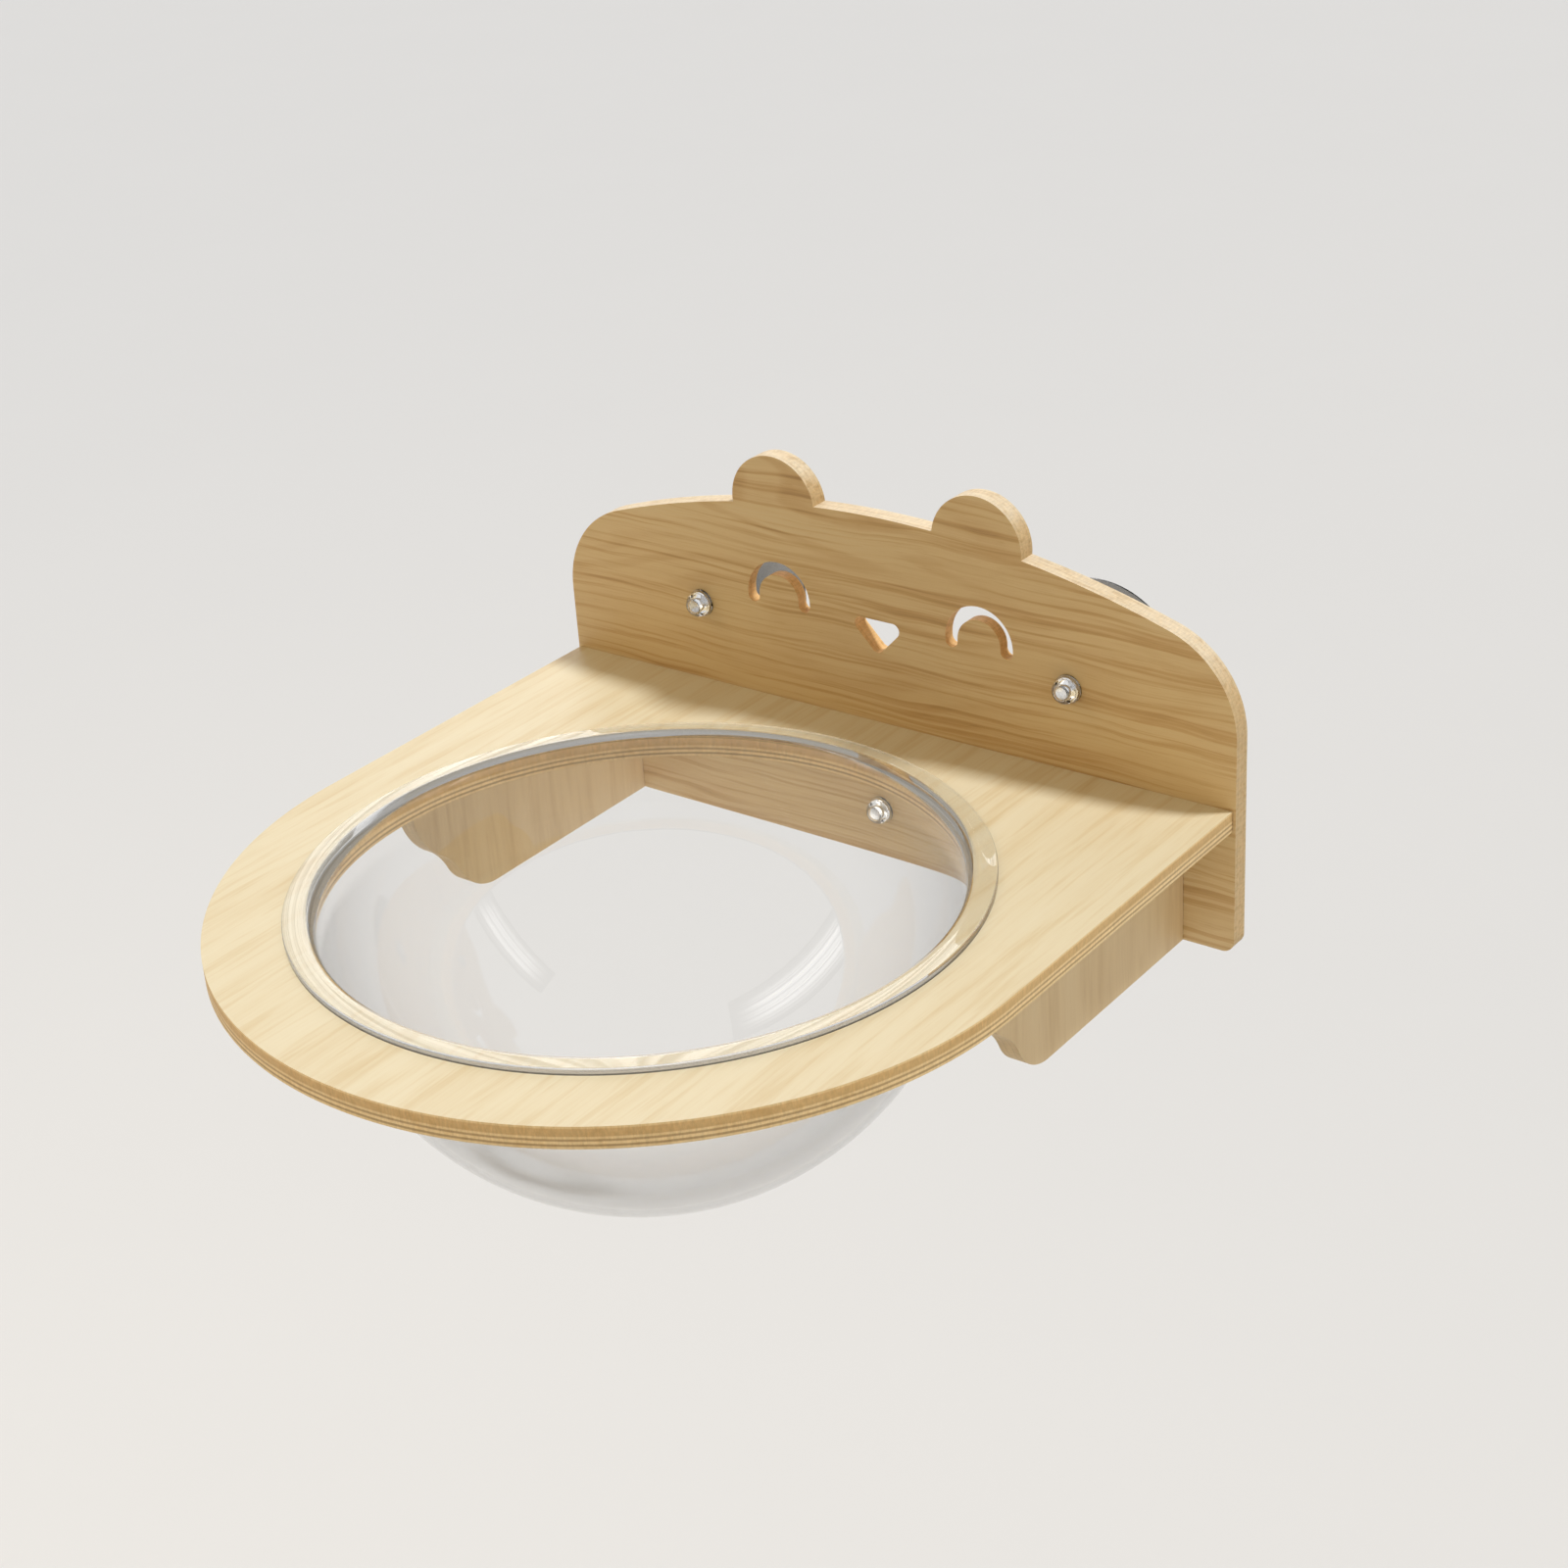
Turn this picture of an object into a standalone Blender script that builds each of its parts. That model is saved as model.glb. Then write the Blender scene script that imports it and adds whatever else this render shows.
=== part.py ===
# Window cat perch: a clear bowl hangs in a round hole in a wooden board, which a back panel with
# two round ears and two brackets carry. Three suction cups hold the panel to a window.
# Metres, +Z up. The window's glass is the plane y = 0, the board's top face is the plane z = 0,
# and the room is towards -Y.

import math

import bmesh
import bpy
from mathutils import Vector

# Clearances
SEAT_GAP = 0.0003          # between pieces that touch
SCREW_CLEARANCE = 0.0003   # round a screw or a dowel in its hole
STUD_CLEARANCE = 0.0003    # round a stud in the panel, the washer, the cup and the nut
HOLE_CLEARANCE = 0.001     # round the bowl in the board's hole

# Clear bowl
BOWL_RADIUS = 0.149        # outside
BOWL_WALL = 0.003
FLANGE_WIDTH = 0.011
FLANGE_THICKNESS = 0.003
FLANGE_EDGE_RADIUS = 0.001
MOUTH_RADIUS = 0.007       # rounding from the flange into the bowl

# Board
BOARD_THICKNESS = 0.0105
BOARD_RIM = 0.0455         # wood between the hole and the board's sides and front
BOARD_REAR_RIM = 0.040     # wood between the hole and the panel

# Back panel
PANEL_THICKNESS = 0.010
PANEL_OVERHANG = 0.0015    # panel beyond each side of the board
PANEL_DROP = 0.075         # panel below the board's top face
PANEL_RISE = 0.109         # panel above it, at the middle
PANEL_CORNER_RADIUS = 0.0065
CROWN_RADIUS = 0.520
SHOULDER_RADIUS = 0.051

# Face
EAR_SPREAD = 0.0593        # from the middle to each ear and each eye
EAR_RADIUS = 0.025
EAR_SINK = 0.0008          # ear centre below the crown's edge
EYE_HEIGHT = 0.055
EYE_RADIUS = 0.0191
EYE_SLOT = 0.007
EYE_LEG = 0.0015           # straight end of each slot
NOSE_HEIGHT = 0.0512       # the nose's two upper corners
NOSE_HALF_WIDTH = 0.0094
NOSE_DEPTH = 0.0098
NOSE_ROUNDING = 0.0038
EYE_LAND = 0.0065          # straight wall behind the panel's front, before the eyes widen
NOSE_LAND = 0.0092         # the same for the nose, whose back edge is only eased

# Brackets
BRACKET_THICKNESS = 0.0105
BRACKET_CLEARANCE = 0.0095 # from the board's hole to a bracket
BRACKET_LENGTH = 0.175
TOE_RADIUS = 0.0417        # upper lobe of the scalloped end
COVE_RADIUS = 0.0387       # hollow between the two lobes
HEEL_RADIUS = 0.0262       # lower lobe
HEEL_SETBACK = 0.0535      # from the toe to where the bottom edge starts

# Suction cups
CUP_STANDOFF = 0.020       # glass to the panel's back face
CUP_RADIUS = 0.0445
CUP_LIP_WIDTH = 0.0025
CUP_RIM_THICKNESS = 0.0016
CUP_HOLLOW_DEPTH = 0.008
CUP_WEB = 0.0025           # between the hollow and the stud's head
CUP_BOSS_RADIUS = 0.0125
CUP_BOSS_HEIGHT = 0.0055
CUP_SKIRT_CURVE = 1.3
UPPER_CUP_INSET = 0.088    # from the panel's side to the cup's axis
UPPER_CUP_HEIGHT = 0.0428
LOWER_CUP_DROP = 0.048

# Studs, washers and dome nuts
STUD_RADIUS = 0.003
STUD_HEAD_RADIUS = 0.007
STUD_HEAD_THICKNESS = 0.0025
STUD_CHAMFER = 0.0006
WASHER_RADIUS = 0.0072
WASHER_THICKNESS = 0.0012
NUT_RADIUS = 0.0062
NUT_SKIRT = 0.0023         # straight part of the nut, below its dome
NUT_DOME = 0.0055
NUT_BORE_DEPTH = 0.0056
STUD_TIP_GAP = 0.0008      # from the stud's end to the bottom of the nut's bore

# Screws and dowels
SCREW_RADIUS = 0.002
SCREW_HEAD_RADIUS = 0.0044
SCREW_HEAD_EDGE = 0.0004
SCREW_LENGTH = 0.036
SCREW_POINT = 0.004
SCREW_SINK = 0.0003        # head below the panel's back face
SOCKET_RADIUS = 0.00145    # hexagonal drive, over its corners
SOCKET_SIDES = 6
SOCKET_DEPTH = 0.0018
BOARD_SCREWS = (-0.130, -0.050, 0.050, 0.130)
BRACKET_SCREWS = (-0.028, -0.060)
DOWEL_RADIUS = 0.003
DOWEL_IN_BOARD = 0.0075
DOWEL_IN_BRACKET = 0.016
DOWEL_SETBACKS = (0.040, 0.130)

# Finish of the meshes
EDGE_EASING = 0.0008
EASING_SEGMENTS = 2
EASING_ANGLE = math.radians(40)
SMOOTH_ANGLE = math.radians(35)
CHORD_ERROR = 0.00012      # how far a curved edge may lie inside its true arc
WELD_DISTANCE = 0.00001
OVERCUT = 0.002            # how far a cutter reaches past the wood
BOWL_STEPS = 60
BOWL_ARC_STEPS = 10
MOUTH_STEPS = 5
CUP_STEPS = 28
CUP_CURVE_STEPS = 5
NUT_STEPS = 20
NUT_DOME_STEPS = 6
SCREW_STEPS = 12
SMALL_ARC_STEPS = 3
EYE_ARC_STEPS = 14
EYE_END_STEPS = 5
NOSE_CORNER_STEPS = 5

# Derived places
HOLE_RADIUS = BOWL_RADIUS + HOLE_CLEARANCE
BOARD_HALF_WIDTH = HOLE_RADIUS + BOARD_RIM
PANEL_HALF_WIDTH = BOARD_HALF_WIDTH + PANEL_OVERHANG
PANEL_BACK_Y = -CUP_STANDOFF
PANEL_FRONT_Y = PANEL_BACK_Y - PANEL_THICKNESS
UPPER_CUP_X = PANEL_HALF_WIDTH - UPPER_CUP_INSET
BOWL_Y = PANEL_FRONT_Y - BOARD_REAR_RIM - HOLE_RADIUS
BRACKET_TOP_Z = -BOARD_THICKNESS - SEAT_GAP
BRACKET_MIDDLE_X = HOLE_RADIUS + BRACKET_CLEARANCE + BRACKET_THICKNESS / 2
CROWN_CENTRE = Vector((0, PANEL_RISE - CROWN_RADIUS))

# Rotations that stand a flat or turned shape up
FACING_ROOM = (math.radians(90), 0, 0)
FACING_WINDOW = (math.radians(-90), 0, 0)
ALONG_BRACKET = (math.radians(90), 0, math.radians(90))


def clear_scene():
    for old in list(bpy.data.objects):
        bpy.data.objects.remove(old, do_unlink=True)


def new_collection(name):
    collection = bpy.data.collections.new(name)
    bpy.context.scene.collection.children.link(collection)
    return collection


def make_material(name, colour, roughness, metallic=0.0, transmission=0.0):
    material = bpy.data.materials.new(name)
    material.use_nodes = True
    shader = material.node_tree.nodes["Principled BSDF"]
    shader.inputs["Base Color"].default_value = (*colour, 1.0)
    shader.inputs["Roughness"].default_value = roughness
    shader.inputs["Metallic"].default_value = metallic
    shader.inputs["Transmission Weight"].default_value = transmission
    return material


def arc(centre, radius, start, end, steps=None):
    """Points on an arc, both ends included; the angles are in radians."""
    if steps is None:
        step_angle = 2 * math.acos(1 - CHORD_ERROR / radius)
        steps = max(2, math.ceil(abs(end - start) / step_angle))
    angles = [start + (end - start) * i / steps for i in range(steps + 1)]
    return [Vector((centre[0] + radius * math.cos(a), centre[1] + radius * math.sin(a))) for a in angles]


def circle_crossing(centre_a, radius_a, centre_b, radius_b, side):
    """Where two circles cross; side is 1 or -1, left or right of the line from a to b."""
    line = centre_b - centre_a
    along = (radius_a ** 2 - radius_b ** 2 + line.length_squared) / (2 * line.length)
    height = math.sqrt(radius_a ** 2 - along ** 2)
    ahead = line.normalized()
    left = Vector((-ahead.y, ahead.x))
    return centre_a + ahead * along + left * height * side


def angle_from(centre, point):
    return math.atan2(point.y - centre.y, point.x - centre.x)


def mirrored_outline(half):
    """Closes a half outline, which runs up the +X side, with its mirror image."""
    other = [Vector((-p.x, p.y)) for p in reversed(half) if abs(p.x) > WELD_DISTANCE]
    return half + other


def evaluated_mesh(thing):
    """The mesh that an object's modifiers give, in the object's own space; the object is removed."""
    bpy.context.view_layer.update()
    shaped = thing.evaluated_get(bpy.context.evaluated_depsgraph_get())
    mesh = bpy.data.meshes.new_from_object(shaped)
    bpy.data.objects.remove(thing, do_unlink=True)
    return mesh


def add_object(name, mesh, collection, material=None):
    thing = bpy.data.objects.new(name, mesh)
    collection.objects.link(thing)
    if material is not None:
        mesh.materials.clear()
        mesh.materials.append(material)
    return thing


def flat_mesh(name, outlines, thickness):
    """A plate cut to the first outline, with the other outlines as holes through it."""
    curve = bpy.data.curves.new(name, "CURVE")
    curve.dimensions = "2D"
    curve.fill_mode = "BOTH"
    curve.extrude = thickness / 2
    for outline in outlines:
        spline = curve.splines.new("POLY")
        spline.points.add(len(outline) - 1)
        for point, place in zip(spline.points, outline):
            point.co = (place.x, place.y, 0, 1)
        spline.use_cyclic_u = True
    guide = bpy.data.objects.new(name, curve)
    bpy.context.scene.collection.objects.link(guide)
    mesh = evaluated_mesh(guide)
    bpy.data.curves.remove(curve)
    shape = bmesh.new()
    shape.from_mesh(mesh)
    bmesh.ops.remove_doubles(shape, verts=shape.verts, dist=WELD_DISTANCE)
    bmesh.ops.recalc_face_normals(shape, faces=shape.faces)
    shape.to_mesh(mesh)
    shape.free()
    return mesh


def ease_edges(thing):
    bevel = thing.modifiers.new("eased_edges", "BEVEL")
    bevel.width = EDGE_EASING
    bevel.segments = EASING_SEGMENTS
    bevel.limit_method = "ANGLE"
    bevel.angle_limit = EASING_ANGLE
    bevel.loop_slide = False


def turned_mesh(name, profile, steps, closed=False):
    """Turns a profile of (radius, height) points about the local Z axis."""
    mesh = bpy.data.meshes.new(name)
    points = [(radius, 0, height) for radius, height in profile]
    edges = [(i, i + 1) for i in range(len(points) - 1)]
    if closed:
        edges.append((len(points) - 1, 0))
    mesh.from_pydata(points, edges, [])
    guide = bpy.data.objects.new(name, mesh)
    bpy.context.scene.collection.objects.link(guide)
    screw = guide.modifiers.new("turned", "SCREW")
    screw.axis = "Z"
    screw.angle = 2 * math.pi
    screw.steps = steps
    screw.render_steps = steps
    screw.use_merge_vertices = True
    screw.merge_threshold = WELD_DISTANCE
    shaped = evaluated_mesh(guide)
    bpy.data.meshes.remove(mesh)
    shaped.name = name
    shaped.shade_smooth()
    shaped.set_sharp_from_angle(angle=SMOOTH_ANGLE)
    return shaped


def lofted_mesh(name, sections):
    """A closed shape through outlines of equal length, each at its own height."""
    shape = bmesh.new()
    rings = []
    for outline, height in sections:
        rings.append([shape.verts.new((p.x, p.y, height)) for p in outline])
    count = len(rings[0])
    for lower, upper in zip(rings, rings[1:]):
        for i in range(count):
            j = (i + 1) % count
            shape.faces.new((lower[i], lower[j], upper[j], upper[i]))
    shape.faces.new(list(reversed(rings[0])))
    shape.faces.new(rings[-1])
    bmesh.ops.recalc_face_normals(shape, faces=shape.faces)
    mesh = bpy.data.meshes.new(name)
    shape.to_mesh(mesh)
    shape.free()
    return mesh


def add_cutter(name, mesh, location, rotation=(0, 0, 0)):
    cutter = add_object(name, mesh, cutters)
    cutter.location = location
    cutter.rotation_euler = rotation
    cutter.hide_render = True
    cutter.display_type = "WIRE"
    return cutter


def cut(thing, cutter):
    boolean = thing.modifiers.new(cutter.name, "BOOLEAN")
    boolean.operation = "DIFFERENCE"
    boolean.solver = "EXACT"
    boolean.object = cutter


def bowl_profile():
    inside = BOWL_RADIUS - BOWL_WALL
    top = FLANGE_THICKNESS
    outer = BOWL_RADIUS + FLANGE_WIDTH
    quarter = math.pi / 2
    mouth_height = top - MOUTH_RADIUS
    mouth_x = math.sqrt((inside + MOUTH_RADIUS) ** 2 - mouth_height ** 2)
    meeting = math.atan2(mouth_height, mouth_x)
    edge = (outer - FLANGE_EDGE_RADIUS, top - FLANGE_EDGE_RADIUS)
    profile = arc((0, 0), inside, -quarter, meeting, BOWL_ARC_STEPS)
    profile += arc((mouth_x, mouth_height), MOUTH_RADIUS, math.pi + meeting, quarter, MOUTH_STEPS)
    profile += arc(edge, FLANGE_EDGE_RADIUS, quarter, 0, SMALL_ARC_STEPS)
    profile.append(Vector((outer, 0)))
    profile += arc((0, 0), BOWL_RADIUS, 0, -quarter, BOWL_ARC_STEPS)
    profile[0].x = 0
    profile[-1].x = 0
    kept = [profile[0]]
    for point in profile[1:]:
        if (point - kept[-1]).length > WELD_DISTANCE:
            kept.append(point)
    return kept


def make_bowl():
    bowl = add_object("acrylic_bowl", turned_mesh("acrylic_bowl", bowl_profile(), BOWL_STEPS), parts, acrylic)
    bowl.location = (0, BOWL_Y, SEAT_GAP)


def board_outline():
    half = [Vector((0, -BOARD_HALF_WIDTH))]
    half += arc((0, 0), BOARD_HALF_WIDTH, -math.pi / 2, 0)[1:]
    half.append(Vector((BOARD_HALF_WIDTH, HOLE_RADIUS + BOARD_REAR_RIM - SEAT_GAP)))
    return mirrored_outline(half)


def make_board():
    hole = arc((0, 0), HOLE_RADIUS, 0, 2 * math.pi)[:-1]
    mesh = flat_mesh("platform_board", [board_outline(), hole], BOARD_THICKNESS)
    board = add_object("platform_board", mesh, parts, board_wood)
    board.location = (0, BOWL_Y, -BOARD_THICKNESS / 2)
    ease_edges(board)
    return board


def ear_centre():
    edge_z = CROWN_CENTRE.y + math.sqrt(CROWN_RADIUS ** 2 - EAR_SPREAD ** 2)
    return Vector((EAR_SPREAD, edge_z - EAR_SINK))


def panel_outline():
    """The panel's edge, up its right side: corner, shoulder, crown, ear and crown again."""
    quarter = math.pi / 2
    side = PANEL_HALF_WIDTH
    corner = (side - PANEL_CORNER_RADIUS, -PANEL_DROP + PANEL_CORNER_RADIUS)
    shoulder_x = side - SHOULDER_RADIUS
    reach = CROWN_RADIUS - SHOULDER_RADIUS
    shoulder = Vector((shoulder_x, CROWN_CENTRE.y + math.sqrt(reach ** 2 - shoulder_x ** 2)))
    meeting = angle_from(CROWN_CENTRE, shoulder)
    ear = ear_centre()
    outside = circle_crossing(CROWN_CENTRE, CROWN_RADIUS, ear, EAR_RADIUS, -1)
    inside = circle_crossing(CROWN_CENTRE, CROWN_RADIUS, ear, EAR_RADIUS, 1)
    half = arc(corner, PANEL_CORNER_RADIUS, -quarter, 0)
    half += arc(shoulder, SHOULDER_RADIUS, 0, meeting)
    half += arc(CROWN_CENTRE, CROWN_RADIUS, meeting, angle_from(CROWN_CENTRE, outside))[1:-1]
    first = angle_from(ear, outside)
    half += arc(ear, EAR_RADIUS, first, first + (angle_from(ear, inside) - first) % (2 * math.pi))
    half += arc(CROWN_CENTRE, CROWN_RADIUS, angle_from(CROWN_CENTRE, inside), quarter)[1:]
    half[-1].x = 0
    return mirrored_outline(half)


def eye_outline(grow):
    """An arched slot about its own centre, grown by the same amount all round."""
    middle = EYE_RADIUS - EYE_SLOT / 2
    end = EYE_SLOT / 2 + grow
    outline = arc((0, 0), middle + end, 0, math.pi, EYE_ARC_STEPS)
    outline += arc((-middle, -EYE_LEG), end, math.pi, 2 * math.pi, EYE_END_STEPS)
    outline += arc((0, 0), middle - end, math.pi, 0, EYE_ARC_STEPS)
    outline += arc((middle, -EYE_LEG), end, math.pi, 2 * math.pi, EYE_END_STEPS)
    return outline


def nose_outline(grow):
    """A triangle, point down, whose corners are rounded by NOSE_ROUNDING plus grow."""
    corners = [Vector((NOSE_HALF_WIDTH, 0)), Vector((-NOSE_HALF_WIDTH, 0)), Vector((0, -NOSE_DEPTH))]
    outline = []
    for i, corner in enumerate(corners):
        before = corner - corners[i - 1]
        after = corners[(i + 1) % len(corners)] - corner
        first = math.atan2(before.y, before.x) - math.pi / 2
        turn = (math.atan2(after.y, after.x) - math.atan2(before.y, before.x)) % (2 * math.pi)
        outline += arc(corner, NOSE_ROUNDING + grow, first, first + turn, NOSE_CORNER_STEPS)
    return outline


def face_cutter(name, outline_at, land, x, z):
    """Straight through the front of the panel, then wider and wider to its back."""
    sections = [
        (outline_at(0), OVERCUT),
        (outline_at(0), -land),
        (outline_at(PANEL_THICKNESS - land + OVERCUT), -PANEL_THICKNESS - OVERCUT),
    ]
    return add_cutter(name, lofted_mesh(name, sections), (x, PANEL_FRONT_Y, z), FACING_ROOM)


def make_panel():
    mesh = flat_mesh("back_panel", [panel_outline()], PANEL_THICKNESS)
    panel = add_object("back_panel", mesh, parts, panel_wood)
    panel.location = (0, (PANEL_FRONT_Y + PANEL_BACK_Y) / 2, 0)
    panel.rotation_euler = FACING_ROOM
    ease_edges(panel)
    cut(panel, face_cutter("right_eye_cutter", eye_outline, EYE_LAND, EAR_SPREAD, EYE_HEIGHT))
    cut(panel, face_cutter("left_eye_cutter", eye_outline, EYE_LAND, -EAR_SPREAD, EYE_HEIGHT))
    cut(panel, face_cutter("nose_cutter", nose_outline, NOSE_LAND, 0, NOSE_HEIGHT))
    return panel


def bracket_outline():
    """Seen from the right: x runs from the panel's front, y = 0 is the top edge."""
    bottom = -(PANEL_DROP - BOARD_THICKNESS - SEAT_GAP)
    rear = -SEAT_GAP
    upper = Vector((TOE_RADIUS - BRACKET_LENGTH, 0))
    lower = Vector((HEEL_SETBACK - BRACKET_LENGTH, bottom + HEEL_RADIUS))
    cove = circle_crossing(upper, TOE_RADIUS + COVE_RADIUS, lower, HEEL_RADIUS + COVE_RADIUS, -1)
    into_cove = angle_from(cove, upper)
    out_of_cove = angle_from(cove, lower)
    outline = arc(upper, TOE_RADIUS, math.pi, math.pi + into_cove)
    outline += arc(cove, COVE_RADIUS, into_cove, out_of_cove)[1:]
    outline += arc(lower, HEEL_RADIUS, math.pi + out_of_cove, 1.5 * math.pi)[1:]
    outline += [Vector((rear, bottom)), Vector((rear, 0))]
    return outline


def make_bracket(name, x):
    bracket = add_object(name, flat_mesh(name, [bracket_outline()], BRACKET_THICKNESS), parts, bracket_wood)
    bracket.location = (x, PANEL_FRONT_Y, BRACKET_TOP_Z)
    bracket.rotation_euler = ALONG_BRACKET
    ease_edges(bracket)
    return bracket


def cup_profile():
    """From the floor of the stud's pocket, out over the boss and skirt to the lip, and into the hollow."""
    face = CUP_STANDOFF - SEAT_GAP
    shoulder = face - CUP_BOSS_HEIGHT
    floor = CUP_HOLLOW_DEPTH + CUP_WEB
    ceiling = floor + STUD_HEAD_THICKNESS + 2 * STUD_CLEARANCE
    pocket = STUD_HEAD_RADIUS + STUD_CLEARANCE
    bore = STUD_RADIUS + STUD_CLEARANCE
    lip = CUP_RADIUS - CUP_LIP_WIDTH
    profile = [(0, floor), (pocket, floor), (pocket, ceiling), (bore, ceiling), (bore, face)]
    profile.append((CUP_BOSS_RADIUS, face))
    for i in range(CUP_CURVE_STEPS + 1):
        out = i / CUP_CURVE_STEPS
        radius = CUP_BOSS_RADIUS + (CUP_RADIUS - CUP_BOSS_RADIUS) * out
        rise = (shoulder - CUP_RIM_THICKNESS) * (1 - out) ** CUP_SKIRT_CURVE
        profile.append((radius, CUP_RIM_THICKNESS + rise))
    profile.append((CUP_RADIUS, 0))
    for i in range(CUP_CURVE_STEPS + 1):
        radius = lip * (1 - i / CUP_CURVE_STEPS)
        profile.append((radius, CUP_HOLLOW_DEPTH * (1 - (radius / lip) ** 2)))
    return profile


def nut_base():
    """Height of the nut's base above the panel's front."""
    return SEAT_GAP + WASHER_THICKNESS + SEAT_GAP


def stud_length():
    """From under the head in the cup to just short of the bottom of the nut's bore."""
    head_top = CUP_HOLLOW_DEPTH + CUP_WEB + STUD_CLEARANCE + STUD_HEAD_THICKNESS
    end = CUP_STANDOFF + PANEL_THICKNESS + nut_base() + NUT_BORE_DEPTH - STUD_TIP_GAP
    return end - head_top


def stud_profile():
    top = STUD_HEAD_THICKNESS + stud_length()
    return [
        (0, top),
        (STUD_RADIUS - STUD_CHAMFER, top),
        (STUD_RADIUS, top - STUD_CHAMFER),
        (STUD_RADIUS, STUD_HEAD_THICKNESS),
        (STUD_HEAD_RADIUS, STUD_HEAD_THICKNESS),
        (STUD_HEAD_RADIUS, 0),
        (0, 0),
    ]


def washer_profile():
    hole = STUD_RADIUS + STUD_CLEARANCE
    return [
        (hole, WASHER_THICKNESS),
        (WASHER_RADIUS, WASHER_THICKNESS),
        (WASHER_RADIUS, 0),
        (hole, 0),
    ]


def nut_profile():
    """An oval dome on a short straight skirt, with a blind bore from below."""
    bore = STUD_RADIUS + STUD_CLEARANCE
    profile = []
    for point in arc((0, 0), 1, math.pi / 2, 0, NUT_DOME_STEPS):
        profile.append((NUT_RADIUS * point.x, NUT_SKIRT + NUT_DOME * point.y))
    profile[0] = (0, NUT_SKIRT + NUT_DOME)
    profile += [(NUT_RADIUS, 0), (bore, 0), (bore, NUT_BORE_DEPTH), (0, NUT_BORE_DEPTH)]
    return profile


def stud_hole_mesh():
    radius = STUD_RADIUS + STUD_CLEARANCE
    reach = PANEL_THICKNESS / 2 + OVERCUT
    profile = [(0, reach), (radius, reach), (radius, -reach), (0, -reach)]
    return turned_mesh("stud_hole", profile, NUT_STEPS)


def make_cup_set(place, x, z, meshes):
    """One suction cup with its stud, washer and dome nut, on one axis through the panel."""
    axis = bpy.data.objects.new(place + "_cup_axis", None)
    parts.objects.link(axis)
    axis.location = (x, 0, z)
    axis.rotation_euler = FACING_ROOM
    panel_front = CUP_STANDOFF + PANEL_THICKNESS
    heights = {
        "suction_cup": 0,
        "cup_stud": CUP_HOLLOW_DEPTH + CUP_WEB + STUD_CLEARANCE,
        "washer": panel_front + SEAT_GAP,
        "dome_nut": panel_front + nut_base(),
    }
    for kind, height in heights.items():
        piece = bpy.data.objects.new(place + "_" + kind, meshes[kind])
        parts.objects.link(piece)
        piece.parent = axis
        piece.location = (0, 0, height)
    middle_y = (PANEL_FRONT_Y + PANEL_BACK_Y) / 2
    cut(back_panel, add_cutter(place + "_stud_hole", meshes["stud_hole"], (x, middle_y, z), FACING_ROOM))


def make_cup_sets():
    meshes = {
        "suction_cup": turned_mesh("suction_cup", cup_profile(), CUP_STEPS),
        "cup_stud": turned_mesh("cup_stud", stud_profile(), NUT_STEPS),
        "washer": turned_mesh("washer", washer_profile(), NUT_STEPS, closed=True),
        "dome_nut": turned_mesh("dome_nut", nut_profile(), NUT_STEPS),
        "stud_hole": stud_hole_mesh(),
    }
    finishes = {
        "suction_cup": cup_vinyl,
        "cup_stud": steel,
        "washer": clear_plastic,
        "dome_nut": clear_plastic,
    }
    for kind, finish in finishes.items():
        meshes[kind].materials.append(finish)
    make_cup_set("upper_left", -UPPER_CUP_X, UPPER_CUP_HEIGHT, meshes)
    make_cup_set("upper_right", UPPER_CUP_X, UPPER_CUP_HEIGHT, meshes)
    make_cup_set("lower", 0, -LOWER_CUP_DROP, meshes)


def screw_profile(grow, above):
    """A countersunk screw, head up, grown by its clearance; above lifts the top of a cutter."""
    head = SCREW_HEAD_RADIUS + grow
    shank = SCREW_RADIUS + grow
    cone = SCREW_HEAD_RADIUS - SCREW_RADIUS
    end = -SCREW_LENGTH - grow
    return [
        (0, above),
        (head, above),
        (head, -SCREW_HEAD_EDGE),
        (shank, -SCREW_HEAD_EDGE - cone),
        (shank, end + SCREW_POINT),
        (0, end),
    ]


def screw_mesh():
    """One screw with a hexagonal socket in its head."""
    mesh = turned_mesh("screw", screw_profile(0, 0), SCREW_STEPS)
    screw = add_object("screw", mesh, parts)
    hexagon = bmesh.new()
    bmesh.ops.create_cone(hexagon, cap_ends=True, segments=SOCKET_SIDES, radius1=SOCKET_RADIUS,
                          radius2=SOCKET_RADIUS, depth=2 * SOCKET_DEPTH)
    socket = bpy.data.meshes.new("socket_cutter")
    hexagon.to_mesh(socket)
    hexagon.free()
    cut(screw, add_cutter("socket_cutter", socket, (0, 0, 0)))
    return evaluated_mesh(screw)


def make_screw(name, x, z, board, meshes):
    """A screw through the panel from behind into a board or bracket, and the hole it needs."""
    place = (x, PANEL_BACK_Y - SCREW_SINK, z)
    screw = bpy.data.objects.new(name, meshes["screw"])
    parts.objects.link(screw)
    screw.location = place
    screw.rotation_euler = FACING_WINDOW
    cutter = add_cutter(name + "_hole", meshes["hole"], place, FACING_WINDOW)
    cut(back_panel, cutter)
    cut(board, cutter)


def make_screws():
    meshes = {
        "screw": screw_mesh(),
        "hole": turned_mesh("screw_hole", screw_profile(SCREW_CLEARANCE, OVERCUT), SCREW_STEPS),
    }
    meshes["screw"].materials.append(steel)
    for number, x in enumerate(BOARD_SCREWS, 1):
        make_screw("board_screw_" + str(number), x, -BOARD_THICKNESS / 2, platform_board, meshes)
    for number, z in enumerate(BRACKET_SCREWS, 1):
        make_screw("left_bracket_screw_" + str(number), -BRACKET_MIDDLE_X, z, left_bracket, meshes)
        make_screw("right_bracket_screw_" + str(number), BRACKET_MIDDLE_X, z, right_bracket, meshes)


def dowel_profile(radius, down, up):
    return [(0, up), (radius, up), (radius, -down), (0, -down)]


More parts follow.
